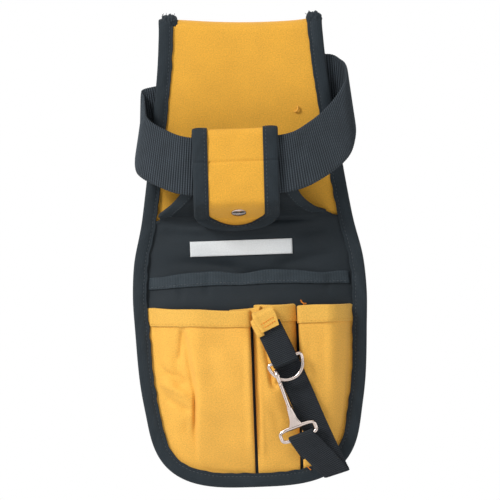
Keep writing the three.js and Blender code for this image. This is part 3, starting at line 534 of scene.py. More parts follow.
def make_material(name, group, values, bump, distance, lint=0.0, on_cloth=True, **shader):
    """A Principled material whose colour, roughness and bump come from a node group."""
    made = bpy.data.materials.new(name)
    made.use_nodes = True
    tree = made.node_tree
    principled = tree.nodes["Principled BSDF"]
    if on_cloth:
        vector = node(tree, "UVMap", uv_map="Cloth").outputs[0]
    else:
        vector = node(tree, "TexCoord").outputs["Object"]
    effect = tree.nodes.new("ShaderNodeGroup")
    effect.node_tree = group
    tree.links.new(vector, effect.inputs["Vector"])
    for key, value in values.items():
        effect.inputs[key].default_value = value
    colour = effect.outputs["Colour"]
    if lint:
        flecks = tree.nodes.new("ShaderNodeGroup")
        flecks.node_tree = bpy.data.node_groups["Lint"]
        flecks.inputs["Amount"].default_value = lint
        tree.links.new(vector, flecks.inputs["Vector"])
        tree.links.new(colour, flecks.inputs["Colour"])
        colour = flecks.outputs["Colour"]
    tree.links.new(colour, principled.inputs["Base Color"])
    tree.links.new(effect.outputs["Roughness"], principled.inputs["Roughness"])
    relief = node(tree, "Bump", {"Height": effect.outputs["Height"], "Strength": bump,
                                 "Distance": distance * MM})
    tree.links.new(relief.outputs["Normal"], principled.inputs["Normal"])
    for key, value in shader.items():
        principled.inputs[key.replace("_", " ")].default_value = value
    return made


def plain_material(name, colour, roughness, grain=0.0, **shader):
    """A material for threads, board and floor: one colour varied by a noise over the object."""
    made = bpy.data.materials.new(name)
    made.use_nodes = True
    tree = made.node_tree
    principled = tree.nodes["Principled BSDF"]
    vector = node(tree, "TexCoord").outputs["Object"]
    tone = remap(tree, noise(tree, vector, 700.0, 2.0), 1 - grain, 1 + grain, 0.3, 0.7)
    base = node(tree, "RGB")
    base.outputs[0].default_value = (*colour, 1)
    tree.links.new(scaled(tree, base.outputs[0], tone), principled.inputs["Base Color"])
    principled.inputs["Roughness"].default_value = roughness
    for key, value in shader.items():
        principled.inputs[key.replace("_", " ")].default_value = value
    return made


# ---- Settings --------------------------------------------------------------------------------------
def dye(name, description, *default):
    """A colour setting."""
    return bpy.props.FloatVectorProperty(name=name, description=description, subtype="COLOR", size=3,
                                         default=default)


class PouchColours(bpy.types.PropertyGroup):
    """Dye and metal colours."""
    yellow: dye("Yellow cloth", "Panel and tab cloth", 0.765, 0.385, 0.041)
    # Pocket yellow: the panel's yellow painted lighter, as painted light on the pockets, which lean towards
    # the key lamp.
    pocket: dye("Yellow pockets", "Lower pocket cloth", 0.85, 0.45, 0.075)
    hem: dye("Yellow hem", "Folded edges of the yellow pockets", 0.78, 0.435, 0.078)
    black: dye("Black cloth", "Upper and middle pocket cloth", 0.0088, 0.0145, 0.0195)
    tape: dye("Binding tape", "Tape round the edges", 0.017, 0.024, 0.03)
    webbing: dye("Webbing", "Tool loop", 0.034, 0.044, 0.054)
    nickel: dye("Nickel", "Ring, hook and snap", 0.70, 0.60, 0.55)


class PouchSizes(bpy.types.PropertyGroup):
    """Sizes of the looks that a user would change."""
    weave: bpy.props.FloatProperty(name="Weave pitch", description="Distance between threads of the cloth",
                                   unit="LENGTH", default=0.0008, min=0.0002, max=0.004)
    rib: bpy.props.FloatProperty(name="Webbing rib", description="Distance between ribs of the tool loop",
                                 unit="LENGTH", default=0.0021, min=0.0005, max=0.006)
    stitch: bpy.props.FloatProperty(name="Stitch pitch", description="Distance from stitch to stitch",
                                    unit="LENGTH", default=0.0034, min=0.001, max=0.01)
    top_sag: bpy.props.FloatProperty(name="Top sag", description="How far the fold hangs in the middle",
                                     unit="LENGTH", default=0.0036, min=0.0, max=0.01)


class PouchOperator:
    """What every operator of the pouch shares."""
    bl_options = {"REGISTER", "UNDO"}


class POUCH_OT_stage(PouchOperator, bpy.types.Operator):
    """Sets up the pale floor, soft lights, camera and the pouch's materials"""
    bl_idname = "tool_pouch.stage"
    bl_label = "Stage and materials"

    def execute(self, context):
        scene = context.scene
        colours, sizes = scene.pouch_colours, scene.pouch_sizes
        weave, ribs, plating = weave_group(), ribs_group(), plating_group()
        lint_group()
        rgba = lambda colour: (*colour, 1)
        # The mottle setting scales the mottled dye and the painted shade between threads together.
        cloth = {"Pitch": sizes.weave, "Mottle and weave shade": 1.7}
        # The pocket cloth is the yellow cloth painted lighter, standing in for light on the pockets.
        for name, colour in (("Yellow cloth", colours.yellow), ("Pocket cloth", colours.pocket),
                             ("Yellow hem", colours.hem)):
            make_material(name, weave, {"Colour": rgba(colour), **cloth}, 0.55, 0.16,
                          Specular_IOR_Level=0.22, Sheen_Weight=0.08, Sheen_Roughness=0.5)
        make_material("Black cloth", weave, {"Colour": rgba(colours.black), **cloth, "Mottle and weave shade": 1.6},
                      0.6, 0.16, lint=0.05, Specular_IOR_Level=0.3, Sheen_Weight=0.02)
        # The groove setting of each webbing sets how dark the painted shade in its grooves is.
        tape = {"Colour": rgba(colours.tape), "Rib": 0.0009, "Cord": 0.0016, "Depth": 0.35}
        make_material("Binding tape", ribs, tape, 0.6, 0.18, lint=0.05, Specular_IOR_Level=0.2,
                      Sheen_Weight=0.03)
        make_material("Hem tape", ribs, {**tape, "Colour": (0.032, 0.043, 0.052, 1), "Cord": 0.0024,
                                         "Depth": 0.55}, 0.7, 0.25, lint=0.05, Specular_IOR_Level=0.2)
        strap = {"Colour": rgba(colours.webbing), "Rib": sizes.rib, "Cord": 0.0019, "Depth": 0.8}
        make_material("Loop webbing", ribs, strap, 0.9, 0.5, lint=0.04, Specular_IOR_Level=0.25,
                      Sheen_Weight=0.03)
        make_material("Strap webbing", ribs, {**strap, "Colour": (0.015, 0.019, 0.024, 1), "Rib": 0.0016,
                                              "Cord": 0.0016, "Depth": 0.75}, 0.8, 0.35, lint=0.03,
                      Specular_IOR_Level=0.25, Sheen_Weight=0.02)
        make_material("Nickel", plating, {"Colour": rgba(colours.nickel)}, 0.06, 0.05, on_cloth=False,
                      Metallic=1.0)
        make_material("Reflective film", weave, {"Colour": (0.62, 0.64, 0.65, 1), "Pitch": 0.0011,
                                                 "Mottle and weave shade": 0.8}, 0.35, 0.1, Specular_IOR_Level=0.5)
        plain_material("Board", (0.3, 0.3, 0.29), 0.9, 0.15)
        plain_material("Black thread", (0.05, 0.06, 0.07), 0.6, 0.3, Specular_IOR_Level=0.3)
        plain_material("Yellow thread", (0.72, 0.36, 0.05), 0.6, 0.2, Specular_IOR_Level=0.3)
        plain_material("Orange thread", (0.78, 0.24, 0.02), 0.55, 0.2, Specular_IOR_Level=0.3)
        plain_material("Floor", (0.86, 0.86, 0.86), 0.7, 0.01)

        angle = np.linspace(0, 2 * np.pi, 96, endpoint=False)
        disc = spread(FLOOR_RADIUS * np.cos(angle), FLOOR_RADIUS * np.sin(angle), FLOOR_Z)
        floor = make_mesh("floor", disc, [list(range(96))])
        floor.data.materials.append(bpy.data.materials["Floor"])

        world = bpy.data.worlds.new("Studio")
        world.use_nodes = True
        scene.world = world
        tree = world.node_tree
        behind = node(tree, "LightPath").outputs["Is Camera Ray"]
        height = node(tree, "SeparateXYZ", {0: node(tree, "TexCoord").outputs["Generated"]}).outputs[2]
        dim = remap(tree, height, 0.18, 0.56, -0.6, 0.7)
        tree.nodes["Background"].inputs["Color"].default_value = (1, 1, 1, 1)
        spots = noise(tree, node(tree, "TexCoord").outputs["Generated"], 2.3, 1.0)
        mirror = node(tree, "Mix", {0: node(tree, "LightPath").outputs["Is Glossy Ray"], 2: dim,
                                    3: remap(tree, spots, 0.03, 1.5, 0.42, 0.62)}, data_type="FLOAT")
        share = node(tree, "Mix", {0: behind, 2: mirror.outputs[0], 3: 1.0}, data_type="FLOAT").outputs[0]
        tree.links.new(share, tree.nodes["Background"].inputs["Strength"])

        lamp("Key", (-1.5, -1.45, 1.3), 0.7, 50)
        lamp("Fill", (1.7, -1.8, 0.25), 1.3, 3.5)
        lamp("Rim", (0.4, 1.6, 1.4), 1.2, 12)

        roll = math.radians(CAMERA_ROLL)
        right = (math.cos(roll), 0, -math.sin(roll))
        up = (math.sin(roll), 0, math.cos(roll))
        camera = bpy.data.objects.new("Camera", bpy.data.cameras.new("Camera"))
        scene.collection.objects.link(camera)
        camera.data.lens = camera.data.sensor_width * CAMERA_DISTANCE / VIEW_WIDTH
        camera.data.clip_end = 50
        camera.matrix_world = Matrix((
            (right[0], up[0], 0, 0.0015), (0, 0, -1, -CAMERA_DISTANCE - 0.03), (right[2], up[2], 0, -0.1428),
            (0, 0, 0, 1)))
        scene.camera = camera
        scene.view_settings.view_transform = "Standard"
        return {"FINISHED"}


def lamp(name, place, size, power):
    """A square area light aimed at the middle of the pouch."""
    light = bpy.data.lights.new(name, "AREA")
    light.size, light.energy = size, power
    made = bpy.data.objects.new(name, light)
    bpy.context.scene.collection.objects.link(made)
    back = unit(np.array(place) - np.array([0, 0, -0.14]))
    side = unit(np.cross([0, 0, 1], back))
    up = np.cross(back, side)
    made.matrix_world = Matrix([[*row, at] for row, at in zip(np.stack([side, up, back], 1), place)]
                               + [[0, 0, 0, 1]])


# ---- Back panel ------------------------------------------------------------------------------------
def back_panel_grid(sag):
    """Front, roll, flap and turned-in end of the back panel in one sheet. A point goes up the front, half
    way round the roll and down the flap; the fold hangs by sag times 1 - u^2 in the middle."""
    u = np.linspace(-1, 1, 73)
    low = BOTTOM_Z + EDGE_INSET + 0.8
    z = levels(low, ROLL_Z, 120)
    half = half_width(z, EDGE_INSET)
    front = spread(half[:, None] * u, PANEL_Y, z[:, None])
    t = np.linspace(0, 1, 26)[1:]
    angle = t * np.pi
    wide = half[-1] + (FLAP_HALF - half[-1]) * t
    roll = spread(wide[:, None] * u, (ROLL_Y - ROLL_R * np.cos(angle))[:, None],
                  (ROLL_Z + ROLL_R * np.sin(angle))[:, None])
    drop = np.linspace(ROLL_Z, FLAP_END_Z, 46)[1:]
    flap = spread(FLAP_HALF * u, FLAP_Y, drop[:, None])
    s = np.linspace(0, 1, 16)[1:]
    turn_y = (1 - s) ** 3 * FLAP_Y + 3 * (1 - s) ** 2 * s * FLAP_Y + (3 * (1 - s) * s**2 + s**3) * SEAM_Y
    turn_z = ((1 - s) ** 3 * FLAP_END_Z + 3 * (1 - s) ** 2 * s * (FLAP_END_Z - 9)
              + 3 * (1 - s) * s**2 * (SEAM_Z + 12) + s**3 * SEAM_Z)
    turn = spread(FLAP_HALF * u, turn_y[:, None], turn_z[:, None])
    grid = np.concatenate([front, roll, flap, turn])
    x, zz = grid[..., 0], grid[..., 2]
    middle = 1 - np.abs(u) ** 2
    rear = np.arange(len(grid)) >= len(front) + 12
    tilt = 0.036 * x * (1 - np.abs(u) ** 8)
    grid[..., 2] -= (sag * middle + tilt) * smoothstep(zz, -40, 45)
    calm = 1 - np.abs(u) ** 8
    wave = ripple(x, zz, 90, 3) + 0.35 * ripple(x, zz, 34, 4)
    grid[..., 1] -= 0.45 * calm * wave * np.where(rear, -1, 1)[:, None]
    return grid


class POUCH_OT_back_panel(PouchOperator, bpy.types.Operator):
    """Makes the yellow back panel with its roll and flap, the lining behind it and the board between"""
    bl_idname = "tool_pouch.back_panel"
    bl_label = "Back panel"

    def execute(self, context):
        grid = back_panel_grid(context.scene.pouch_sizes.top_sag / MM)
        panel = sheet("back_panel_cloth", grid, "Yellow cloth", wall=SKIN,
                      stands_for=["back_panel"])
        u = np.linspace(-1, 1, 61)
        z = levels(BOTTOM_Z + EDGE_INSET + 0.8, 35.4, 100)
        half = half_width(z, EDGE_INSET)
        x = half[:, None] * u
        y = LINING_Y + 0.25 * (1 - u**6) * (1 + ripple(x, z[:, None] + 0 * u, 80, 8)) / 2
        lining = sheet("lining_cloth", spread(x, y, z[:, None]), "Black cloth",
                       wall=SKIN, stands_for=["rear_lining"])
        show_cad("stiffener_board", "Board")
        rear = normals(grid, -FORWARD)
        row = int(np.argmin(np.abs(grid[:, 36, 2] - FLAP_END_Z) + 100 * (grid[:, 36, 1] < 10)))
        stitch = [stitches(grid[row - 2, 2:-2], rear[row - 2, 2:-2], 3.6, 2.6, 0.3, lift=0.5)]
        flap_rows = slice(row - 40, row)
        for column in (3, -4):
            stitch.append(stitches(grid[flap_rows, column], rear[flap_rows, column], 3.6, 2.6, 0.3, lift=0.5))
        thread_piece("flap_stitching", stitch, "Yellow thread")
        return {"FINISHED"}


# ---- Pocket panels ---------------------------------------------------------------------------------
def panel_grid(z, edge, depth, columns=81, dip=0.0):
    """Rows of a full-width panel: x = u half width, y = the crown, and a mouth that dips by u^2."""
    u = np.linspace(-1, 1, columns)
    x = half_width(z, EDGE_INSET)[:, None] * u
    zz = z[:, None] + 0 * u
    y = crown(x, zz, edge, depth)
    lower = zz - dip * u**2 * smoothstep(zz, z[-1] - 30, z[-1])
    return np.stack([x, y, lower], -1), u


NECK = [
    [-114.6, -16.5, -4.9, -75.5, 74.5], [-111.6, -17, -7, -75, 69], [-109.6, -20.8, -11.5, -74, 62.5],
    [-107.6, -26, -15, -71.5, 58], [-105, -32, -19, -68, 54], [-102.2, -37.5, -24, -64, 50.5],
    [-97.5, -40.6, -31, -59, 46], [-91, -40.8, -37, -53.5, 41.5], [-82, -40.8, -39.9, -45.5, 31],
    [-64, -41.2, -40.8, -43.5, 27.5],
    [-42, -41.2, -41.2, -43.5, 27],
]  # height, middle y, edge y, left x, right x


def neck_grid(columns=81):
    """The neck above the upper pocket's mouth: each row runs from its left to its right edge, and its y
    goes from the middle to the edge by |u|^2.4."""
    z, middle, edge, left, right = refine(np.array(NECK, float), 60).T[..., None]
    u = np.linspace(-1, 1, columns)
    x = left + (right - left) * (u + 1) / 2
    y = middle + (edge - middle) * np.abs(u) ** CROWN_POWER
    return spread(x, y, z)


def side_pocket_grid(side, seam, low, columns=90):
    """A side pocket from under the edge binding, out to its full depth, round a fold of small radius at
    the seam and back in to the panel behind, each row a curve through those points."""
    z = levels(low, LOWER_MOUTH_Z, 70, fine=15, fine_count=16)
    depth = LOWER_DEPTH * fullness(z)
    out = LOWER_EDGE_Y - depth
    inner = inner_half(z)
    home = crown(np.full_like(z, seam), z, MIDDLE_EDGE_Y, MIDDLE_DEPTH) - GAP - 0.1
    fold = seam + side * 0.9
    outer = np.maximum(inner, side * fold + 8)
    edge = np.maximum(half_width(z, EDGE_INSET), outer + 1)
    t = np.linspace(0, 1, 9)
    rise_x = side * (outer[:, None] + (side * fold + 6 - outer)[:, None] * t)
    rise_y = LOWER_EDGE_Y + (out - LOWER_EDGE_Y)[:, None] * np.sin(np.pi / 2 * np.minimum(1, t * 1.8)) ** 0.9
    reach = np.clip((home - out) / 3, 0.8, 2.2)[:, None]
    s = np.linspace(0, 1, 5)
    bend_x = fold + side * reach * (1 - np.sin(np.pi / 2 * s))
    bend_y = out[:, None] + reach * (1 - np.cos(np.pi / 2 * s))
    last = np.maximum(home, out + reach[:, 0] + 0.4)
    x = np.concatenate([side * edge[:, None], rise_x, bend_x, np.full((len(z), 1), fold)], 1)
    y = np.concatenate([np.full((len(z), 1), LOWER_EDGE_Y), rise_y, bend_y, last[:, None]], 1)
    control = np.stack([x, y, z[:, None] + 0 * x], -1)
    run = np.concatenate([np.zeros((len(z), 1)), np.cumsum(
        np.linalg.norm(np.diff(control, axis=1), axis=-1), 1)], 1)
    fine = refine(control, columns * 3, axis=1)
    steps = np.linspace(0, 1, columns * 3)
    share = refine(run / run[:, -1:], columns * 3, axis=1).mean(0)
    even_at = np.interp(np.linspace(0, 1, columns), share, steps) * (columns * 3 - 1)
    k = np.minimum(even_at.astype(int), columns * 3 - 2)
    w = (even_at - k)[None, :, None]
    return fine[:, k] * (1 - w) + fine[:, k + 1] * w


LEFT_CREASES = [
    ((-58.5, -204), (-48.6, -268), 2.4, 4.0, 3.5), ((-58.8, -204), (-62, -238), 2.6, 2.6),
    ((-50.0, -256), (-53.0, -334), 1.5, 5.0), ((-66, -226), (-62, -262), 4.5, 2.4),
    ((-86, -240), (-56, -256), 3.2, 3.2), ((-82, -254), (-54, -268), 2.8, -2.6),
    ((-80, -264), (-53, -282), 3.2, 2.8), ((-79, -298), (-55, -306), 3.0, 2.4),
    ((-66, -320), (-57, -288), 2.6, 1.8), ((-3, -214), (-3, -332), 3.4, -1.4),
    ((-40, -216), (-30, -262), 9.0, 1.4)]
MIDDLE_CREASES = [
    ((10, -208), (17, -264), 2.8, 4.0), ((15, -238), (17, -264), 2.0, 1.6),
    ((25, -250), (18, -264), 2.4, 2.4), ((12, -270), (22, -300), 5.0, 1.4),
    ((5, -205), (7, -330), 2.6, -1.4)]
RIGHT_CREASES = [
    ((62, -200), (66, -300), 7, 1.8), ((45, -208), (46, -300), 3, -1.2), ((78, -215), (74, -280), 6, 1.2)]
UPPER_CREASES = [
    ((-70, -150), (-6, -158), 5, 1.8), ((80, -146), (20, -157), 5, 1.6), ((-78, -126), (-30, -131), 4, 1.2),
    ((72, -124), (40, -131), 4, 1.0), ((-66, -119), (66, -117), 2.2, 1.6),
    ((-60, -124), (60, -122), 4, -0.9)]
HEM_CREASES = [
    ((-60, -160), (-58, -186), 2.5, 1.3), ((-34, -158), (-37, -184), 3, 1.0),
    ((70, -160), (66, -186), 2.5, 0.9)]


def left_folds(x, z):
    """How far the left pocket's cloth stands back: a pleat line that leans left of it, and soft creases."""
    pleat = np.interp(z, [-330, -326, -270, -219, -205], [-51.4, -51.4, -48.2, -57.9, -60])
    grow = smoothstep(-z, 214, 262)
    left_side = 0.5 - 0.5 * np.tanh((x - pleat) / 1.1)
    near = np.exp(-((x - pleat) / 22) ** 2)
    back = grow * left_side * near * 5.2
    return back + creases(x, z, LEFT_CREASES) + 0.6 * ripple(x, z, 42, 21)


def middle_folds(x, z):
    """Creases of the pocket between the seams, which puckers below the strap's end."""
    return creases(x, z, MIDDLE_CREASES) + 0.5 * ripple(x, z, 30, 22)


def right_folds(x, z):
    """Slow waves of the right pocket."""
    return creases(x, z, RIGHT_CREASES) + 0.6 * ripple(x, z, 48, 23)


def centre_pocket_grid(columns=46):
    """The shallow pocket between the seams: the middle panel's front less a swell of sin(pi t)^0.8."""
    z = levels(PANEL_LOW, LOWER_MOUTH_Z + 1, 70, fine=15, fine_count=16)
    t = np.linspace(0, 1, columns)
    x = SEAM_LEFT_X + 1.2 + (SEAM_RIGHT_X - SEAM_LEFT_X - 2.4) * t + 0 * z[:, None]
    zz = z[:, None] + 0 * t
    y = crown(x, zz, MIDDLE_EDGE_Y, MIDDLE_DEPTH) - GAP - CLOTH / 2 - 0.8 \
        - 8.5 * fullness(zz) * np.sin(np.pi * t) ** 0.8
    return np.stack([x, y, zz], -1)


def push_back(grid, amount, calm):
    """Moves a grid back along y by an amount that a calm factor holds to nothing at its edges."""
    grid = grid.copy()
    grid[..., 1] += amount * calm
    return grid


def upper_folds(x, z):
    """Sags of the upper pocket: soft folds that run across it, and a turned edge below the mouth."""
    back = 0.9 * ripple(x * 0.45, z, 36, 11) + 0.3 * ripple(x, z, 26, 12)
    return 1.3 * (back + creases(x, z, UPPER_CREASES))


class POUCH_OT_black_pockets(PouchOperator, bpy.types.Operator):
    """Makes the upper pocket panel with its neck, and the middle pocket with its folded hem"""
    bl_idname = "tool_pouch.black_pockets"
    bl_label = "Black pockets"

    def execute(self, context):
        pitch = context.scene.pouch_sizes.stitch / MM
        z = levels(PANEL_LOW, UPPER_MOUTH_Z - 4.5, 110)
        grid, u = panel_grid(z, UPPER_EDGE_Y, UPPER_DEPTH)
        calm = (1 - np.abs(u) ** 8) * smoothstep(grid[..., 2], -340, -230)
        x, zz = grid[..., 0], grid[..., 2]
        body = push_back(grid, upper_folds(x, zz), calm)
        neck = neck_grid()
        bound = smoothstep(neck[..., 2], -115, -108)
        neck[..., 1] += 0.4 * ripple(neck[..., 0], neck[..., 2], 30, 13) * (1 - u**6) * bound
        upper = sheet("upper_pocket_cloth", np.concatenate([body, neck]), "Black cloth",
                      stands_for=["upper_pocket_panel"])

        z = levels(PANEL_LOW, MIDDLE_MOUTH_Z, 90, fine=14, fine_count=15)
        grid, u = panel_grid(z, MIDDLE_EDGE_Y, MIDDLE_DEPTH, dip=HEM_DROP)
        x, zz = grid[..., 0], grid[..., 2]
        calm = (1 - np.abs(u) ** 8) * smoothstep(zz, -340, -230)
        wave = 0.45 * ripple(x, zz, 40, 14) + creases(x, zz, HEM_CREASES)
        wave += 1.6 * smoothstep(zz, -176, -166)
        wave -= 3.0 * smoothstep(-zz, 174, 192) * smoothstep(zz, -214, -196)
        grid = push_back(grid, wave, calm)
        mouth_wave = 1.3 * ripple(grid[-1, :, 0], 0 * u, 34, 15) * (1 - u**8)
        grid[..., 2] += mouth_wave * smoothstep(zz, -178, -162)
        middle = sheet("middle_pocket_cloth", grid, "Black cloth",
                       stands_for=["middle_pocket_panel"])
        inside = slice(5, -5)
        hem = fold_over(grid[-11:, inside], CLOTH / 2 + 0.65, (0, 0, 1))
        hem_piece = sheet("middle_hem", hem, "Hem tape", wall=1.0)
        top = normals(grid)
        rows = [stitches(grid[-9, inside], top[-9, inside], pitch, pitch * 0.68, 0.36, lift=1.75)]
        thread_piece("middle_hem_stitching", rows, "Black thread")
        return {"FINISHED"}


class POUCH_OT_yellow_pockets(PouchOperator, bpy.types.Operator):
    """Makes the three lower pockets with their folded hems and stitching"""
    bl_idname = "tool_pouch.yellow_pockets"
    bl_label = "Yellow pockets"

    def execute(self, context):
        pitch = context.scene.pouch_sizes.stitch / MM
        made = [
            ("left", side_pocket_grid(-1, SEAM_LEFT_X - 1.2, PANEL_LOW), left_folds,
             (0.116, 0.154), 0.0158, 9),
            ("middle", centre_pocket_grid(), middle_folds, (0.044, 0.156), 0.0066, 2),
            ("right", side_pocket_grid(1, SEAM_RIGHT_X + 1.2, PANEL_LOW + 5), right_folds,
             (0.080, 0.150), 0.0098, 9),
        ]
        threads = []
        sink = {"left": lambda x: 1.4 + 4.4 * smoothstep(x, -95, 8), "middle": lambda x: 2.4 + 0 * x,
                "right": lambda x: 3.4 - 0.8 * smoothstep(x, 41, 88)}
        for name, grid, folds, flat, area, hidden in made:
            x, z = grid[..., 0], grid[..., 2]
            grid[..., 2] -= sink[name](x) * smoothstep(z, -240, LOWER_MOUTH_Z)
            v = np.linspace(0, 1, grid.shape[1])
            calm = smoothstep(v, 0, 0.14) * (1 - smoothstep(v, 0.93, 0.99)) * smoothstep(z, -343, -318)
            settle = 1 - 0.75 * smoothstep(z, -212, -203)
            behind = crown(x, z, MIDDLE_EDGE_Y, MIDDLE_DEPTH) - 1.5
            kept = push_back(grid, folds(x, z) * settle, calm)
            limit = np.maximum(behind, grid[..., 1])
            kept[..., 1] = np.where(v < 0.9, np.minimum(kept[..., 1], limit), kept[..., 1])
            grid = kept
            grid[..., 2] += 0.7 * ripple(x, 0 * x, 46, 31) * smoothstep(z, -206, -191) * calm
            # The pockets take the pocket yellow, which is painted lighter than the panel's to stand in for
            # light.
            cloth = sheet(f"lower_{name}_cloth", grid, "Pocket cloth",
                          stands_for=[f"lower_pocket_{name}"])
            used = grid[-15:, hidden:]
            toward = unit(np.array([{"left": -0.25, "middle": 0, "right": 0.25}[name], -1, 0]))
            strip = fold_over(used, CLOTH / 2 + 0.6, (0, 0, 1), toward)
            hem = sheet(f"lower_{name}_hem", strip, "Yellow hem", wall=0.9)
            top = normals(used, toward)
            threads.append(stitches(used[2], top[2], pitch, pitch * 0.68, 0.3, lift=1.6))
        thread_piece("lower_hem_stitching", threads, "Yellow thread")
        t, rise = np.linspace(0, 1, 36), np.linspace(0, 1, 12)[:, None]
        x = refine([-18, -9, -0.5, 3.5, 7.2, 8.4, 7.0], 36)
        y = refine([-30.6, -30.8, -30.9, -33.0, -35.6, -34.2, -32.4], 36)
        top = -193.8 + 2.4 * smoothstep(t, 0.1, 0.7) + 0.3 * np.sin(9 * t)
        z = -207 + (top + 207) * rise
        pleat = np.stack([x + 0 * z - 0.8 * (1 - rise), y + 0.8 * (1 - rise), z], -1)
        fold = sheet("pleat_fold", pleat, "Yellow hem", wall=1.0)
        return {"FINISHED"}


# ---- Bindings --------------------------------------------------------------------------------------
def stack_front(z):
    """Front of the layers under the edge binding, in straight steps of height."""
    return np.interp(z, [BOTTOM_Z, -322, -177, -165, -152, -140, -97, -84, TOP_Z],
                     [LOWER_EDGE_Y - 2, LOWER_EDGE_Y - 1.6, LOWER_EDGE_Y - 1.2, *[MIDDLE_EDGE_Y - 0.8] * 2,
                      *[UPPER_EDGE_Y - 0.6] * 2, *[FRONT_Y - GAP] * 2])


def binding_grid():
    """Tape folded over the pouch's edge. Along the outline, each section is a front leg, half a
    superellipse round the edge and a rear leg; the front leg puffs and is drawn in at its stitches."""
    angle = np.linspace(0, np.pi / 2, 160)
    s = np.cos(angle) ** (2 / ROUND_POWER)
    z = np.concatenate([(ROUND_Z - s * (ROUND_Z - BOTTOM_Z))[:-1], np.linspace(ROUND_Z, ROLL_Z, 200)])
    x = half_width(z)
    x[0] = 0
    right = even(np.stack([x, 0 * x, z], -1)[::4], 330)
    ahead = unit(np.gradient(right, axis=0))
    ahead[0] = [1, 0, 0]
    inward = np.stack([-ahead[:, 2], 0 * x[:1].repeat(len(ahead)), ahead[:, 0]], -1)
    right[:, 1] = PANEL_Y
    z = right[:, 2]
    slim = np.clip((z - ROLL_Z + 3) / 3, 0, 1)
    front = PANEL_Y - stack_front(z)
    rear = 4.4 + (0.8 - 4.4) * slim
    out = np.tile(FORWARD, (len(right), 1))
    turn = np.linspace(0, np.radians(104), 16)[1:]
    arc_out = np.stack([0 * turn, -np.cos(turn), np.sin(turn)], -1)
    top_x = float(half_width(ROLL_Z))
    arc = np.array([top_x, ROLL_Y, ROLL_Z]) + ROLL_R * arc_out
    point = np.concatenate([right, arc])
    inward = np.concatenate([inward, np.tile([-1.0, 0, 0], (len(turn), 1))])
    out = np.concatenate([out, arc_out])
    front = np.concatenate([front, np.full(len(turn), 0.8)])
    rear = np.concatenate([rear, np.full(len(turn), 0.8)])
    mirror = np.array([-1, 1, 1])
    point = np.concatenate([(point * mirror)[:0:-1], point])
    inward = np.concatenate([(inward * mirror)[:0:-1], inward])
    out = np.concatenate([out[:0:-1], out])
    front, rear = (np.concatenate([side[:0:-1], side]) for side in (front, rear))
    run = run_along(point)
    across = np.linspace(TAPE_WIDTH, 1.6, 16)
    bend = np.linspace(0, np.pi, 9)
    round_in = 1.6 - 1.1 * np.sin(bend) ** 0.7
    leg = np.concatenate([across, round_in[1:-1], np.linspace(1.6, TAPE_WIDTH, 10)])
    reach_front = front[:, None] + TAPE / 2
    reach_rear = rear[:, None] + TAPE / 2
    puff = 0.55 * np.sin(np.pi * np.clip((across - 1.6) / 8.2, 0, 1)) ** 0.8
    pull = 0.38 * np.exp(-((across - 9.9) / 0.9) ** 2)
    wander = 1 + 0.4 * ripple(run, 0 * run, 33, 41)[:, None]
    face = reach_front + puff * wander + 0.1 - pull * (0.75 + 0.25 * np.cos(2 * np.pi * run / 3.4))[:, None]
    mid, half = (reach_front - reach_rear) / 2, (reach_front + reach_rear) / 2
    around = mid + half * np.sign(np.cos(bend[1:-1])) * np.abs(np.cos(bend[1:-1])) ** 0.7
    back = -reach_rear - 0 * np.linspace(1.6, TAPE_WIDTH, 10)
    height = np.concatenate([face, around, back], 1)
    edge_wave = 0.35 * ripple(run, 0 * run, 21, 42) + 0.25 * ripple(run, 0 * run, 9, 43)
    share = np.clip((leg - 2) / (TAPE_WIDTH - 2), 0, 1)
    reach = leg + edge_wave[:, None] * share * (np.arange(len(leg)) < 16)
    grid = point[:, None] + inward[:, None] * reach[..., None] + out[:, None] * height[..., None]
    return grid, out


def tape_end(side, top):
    """The rolled end of the edge tape above the fold: a spiral path in the y-z plane with a lumpy radius,
    as wide as the tape."""
    centre_x = side * 63.6 if side > 0 else -60.8
    angle = np.radians(np.linspace(22, 205, 60))
    radius = np.interp(np.degrees(angle), [22, 40, 62, 95, 130, 170, 205],
                       [9.7, 11.2, 13.0, top - 2, top - 3, 11.6, 10.8])
    half = 6.7 if side < 0 else 6.2
    u = np.linspace(-1, 1, 20)
    lump = 0.8 * ripple(u[None] * half * 2 + 0 * angle[:, None], np.degrees(angle)[:, None] / 3 + 0 * u, 9,
                        51 + side)
    r = radius[:, None] + lump - 3.2 * np.abs(u) ** 3
    width = half * (1 - 0.12 * smoothstep(np.degrees(angle), 40, 100))[:, None]
    x = centre_x + width * u + 0.5 * ripple(np.degrees(angle)[:, None] / 4 + 0 * u, u[None] * 3, 8, 53 + side)
    y = ROLL_Y - r * np.cos(angle)[:, None]
    z = ROLL_Z + r * np.sin(angle)[:, None]
    return np.stack([x, y, z], -1)


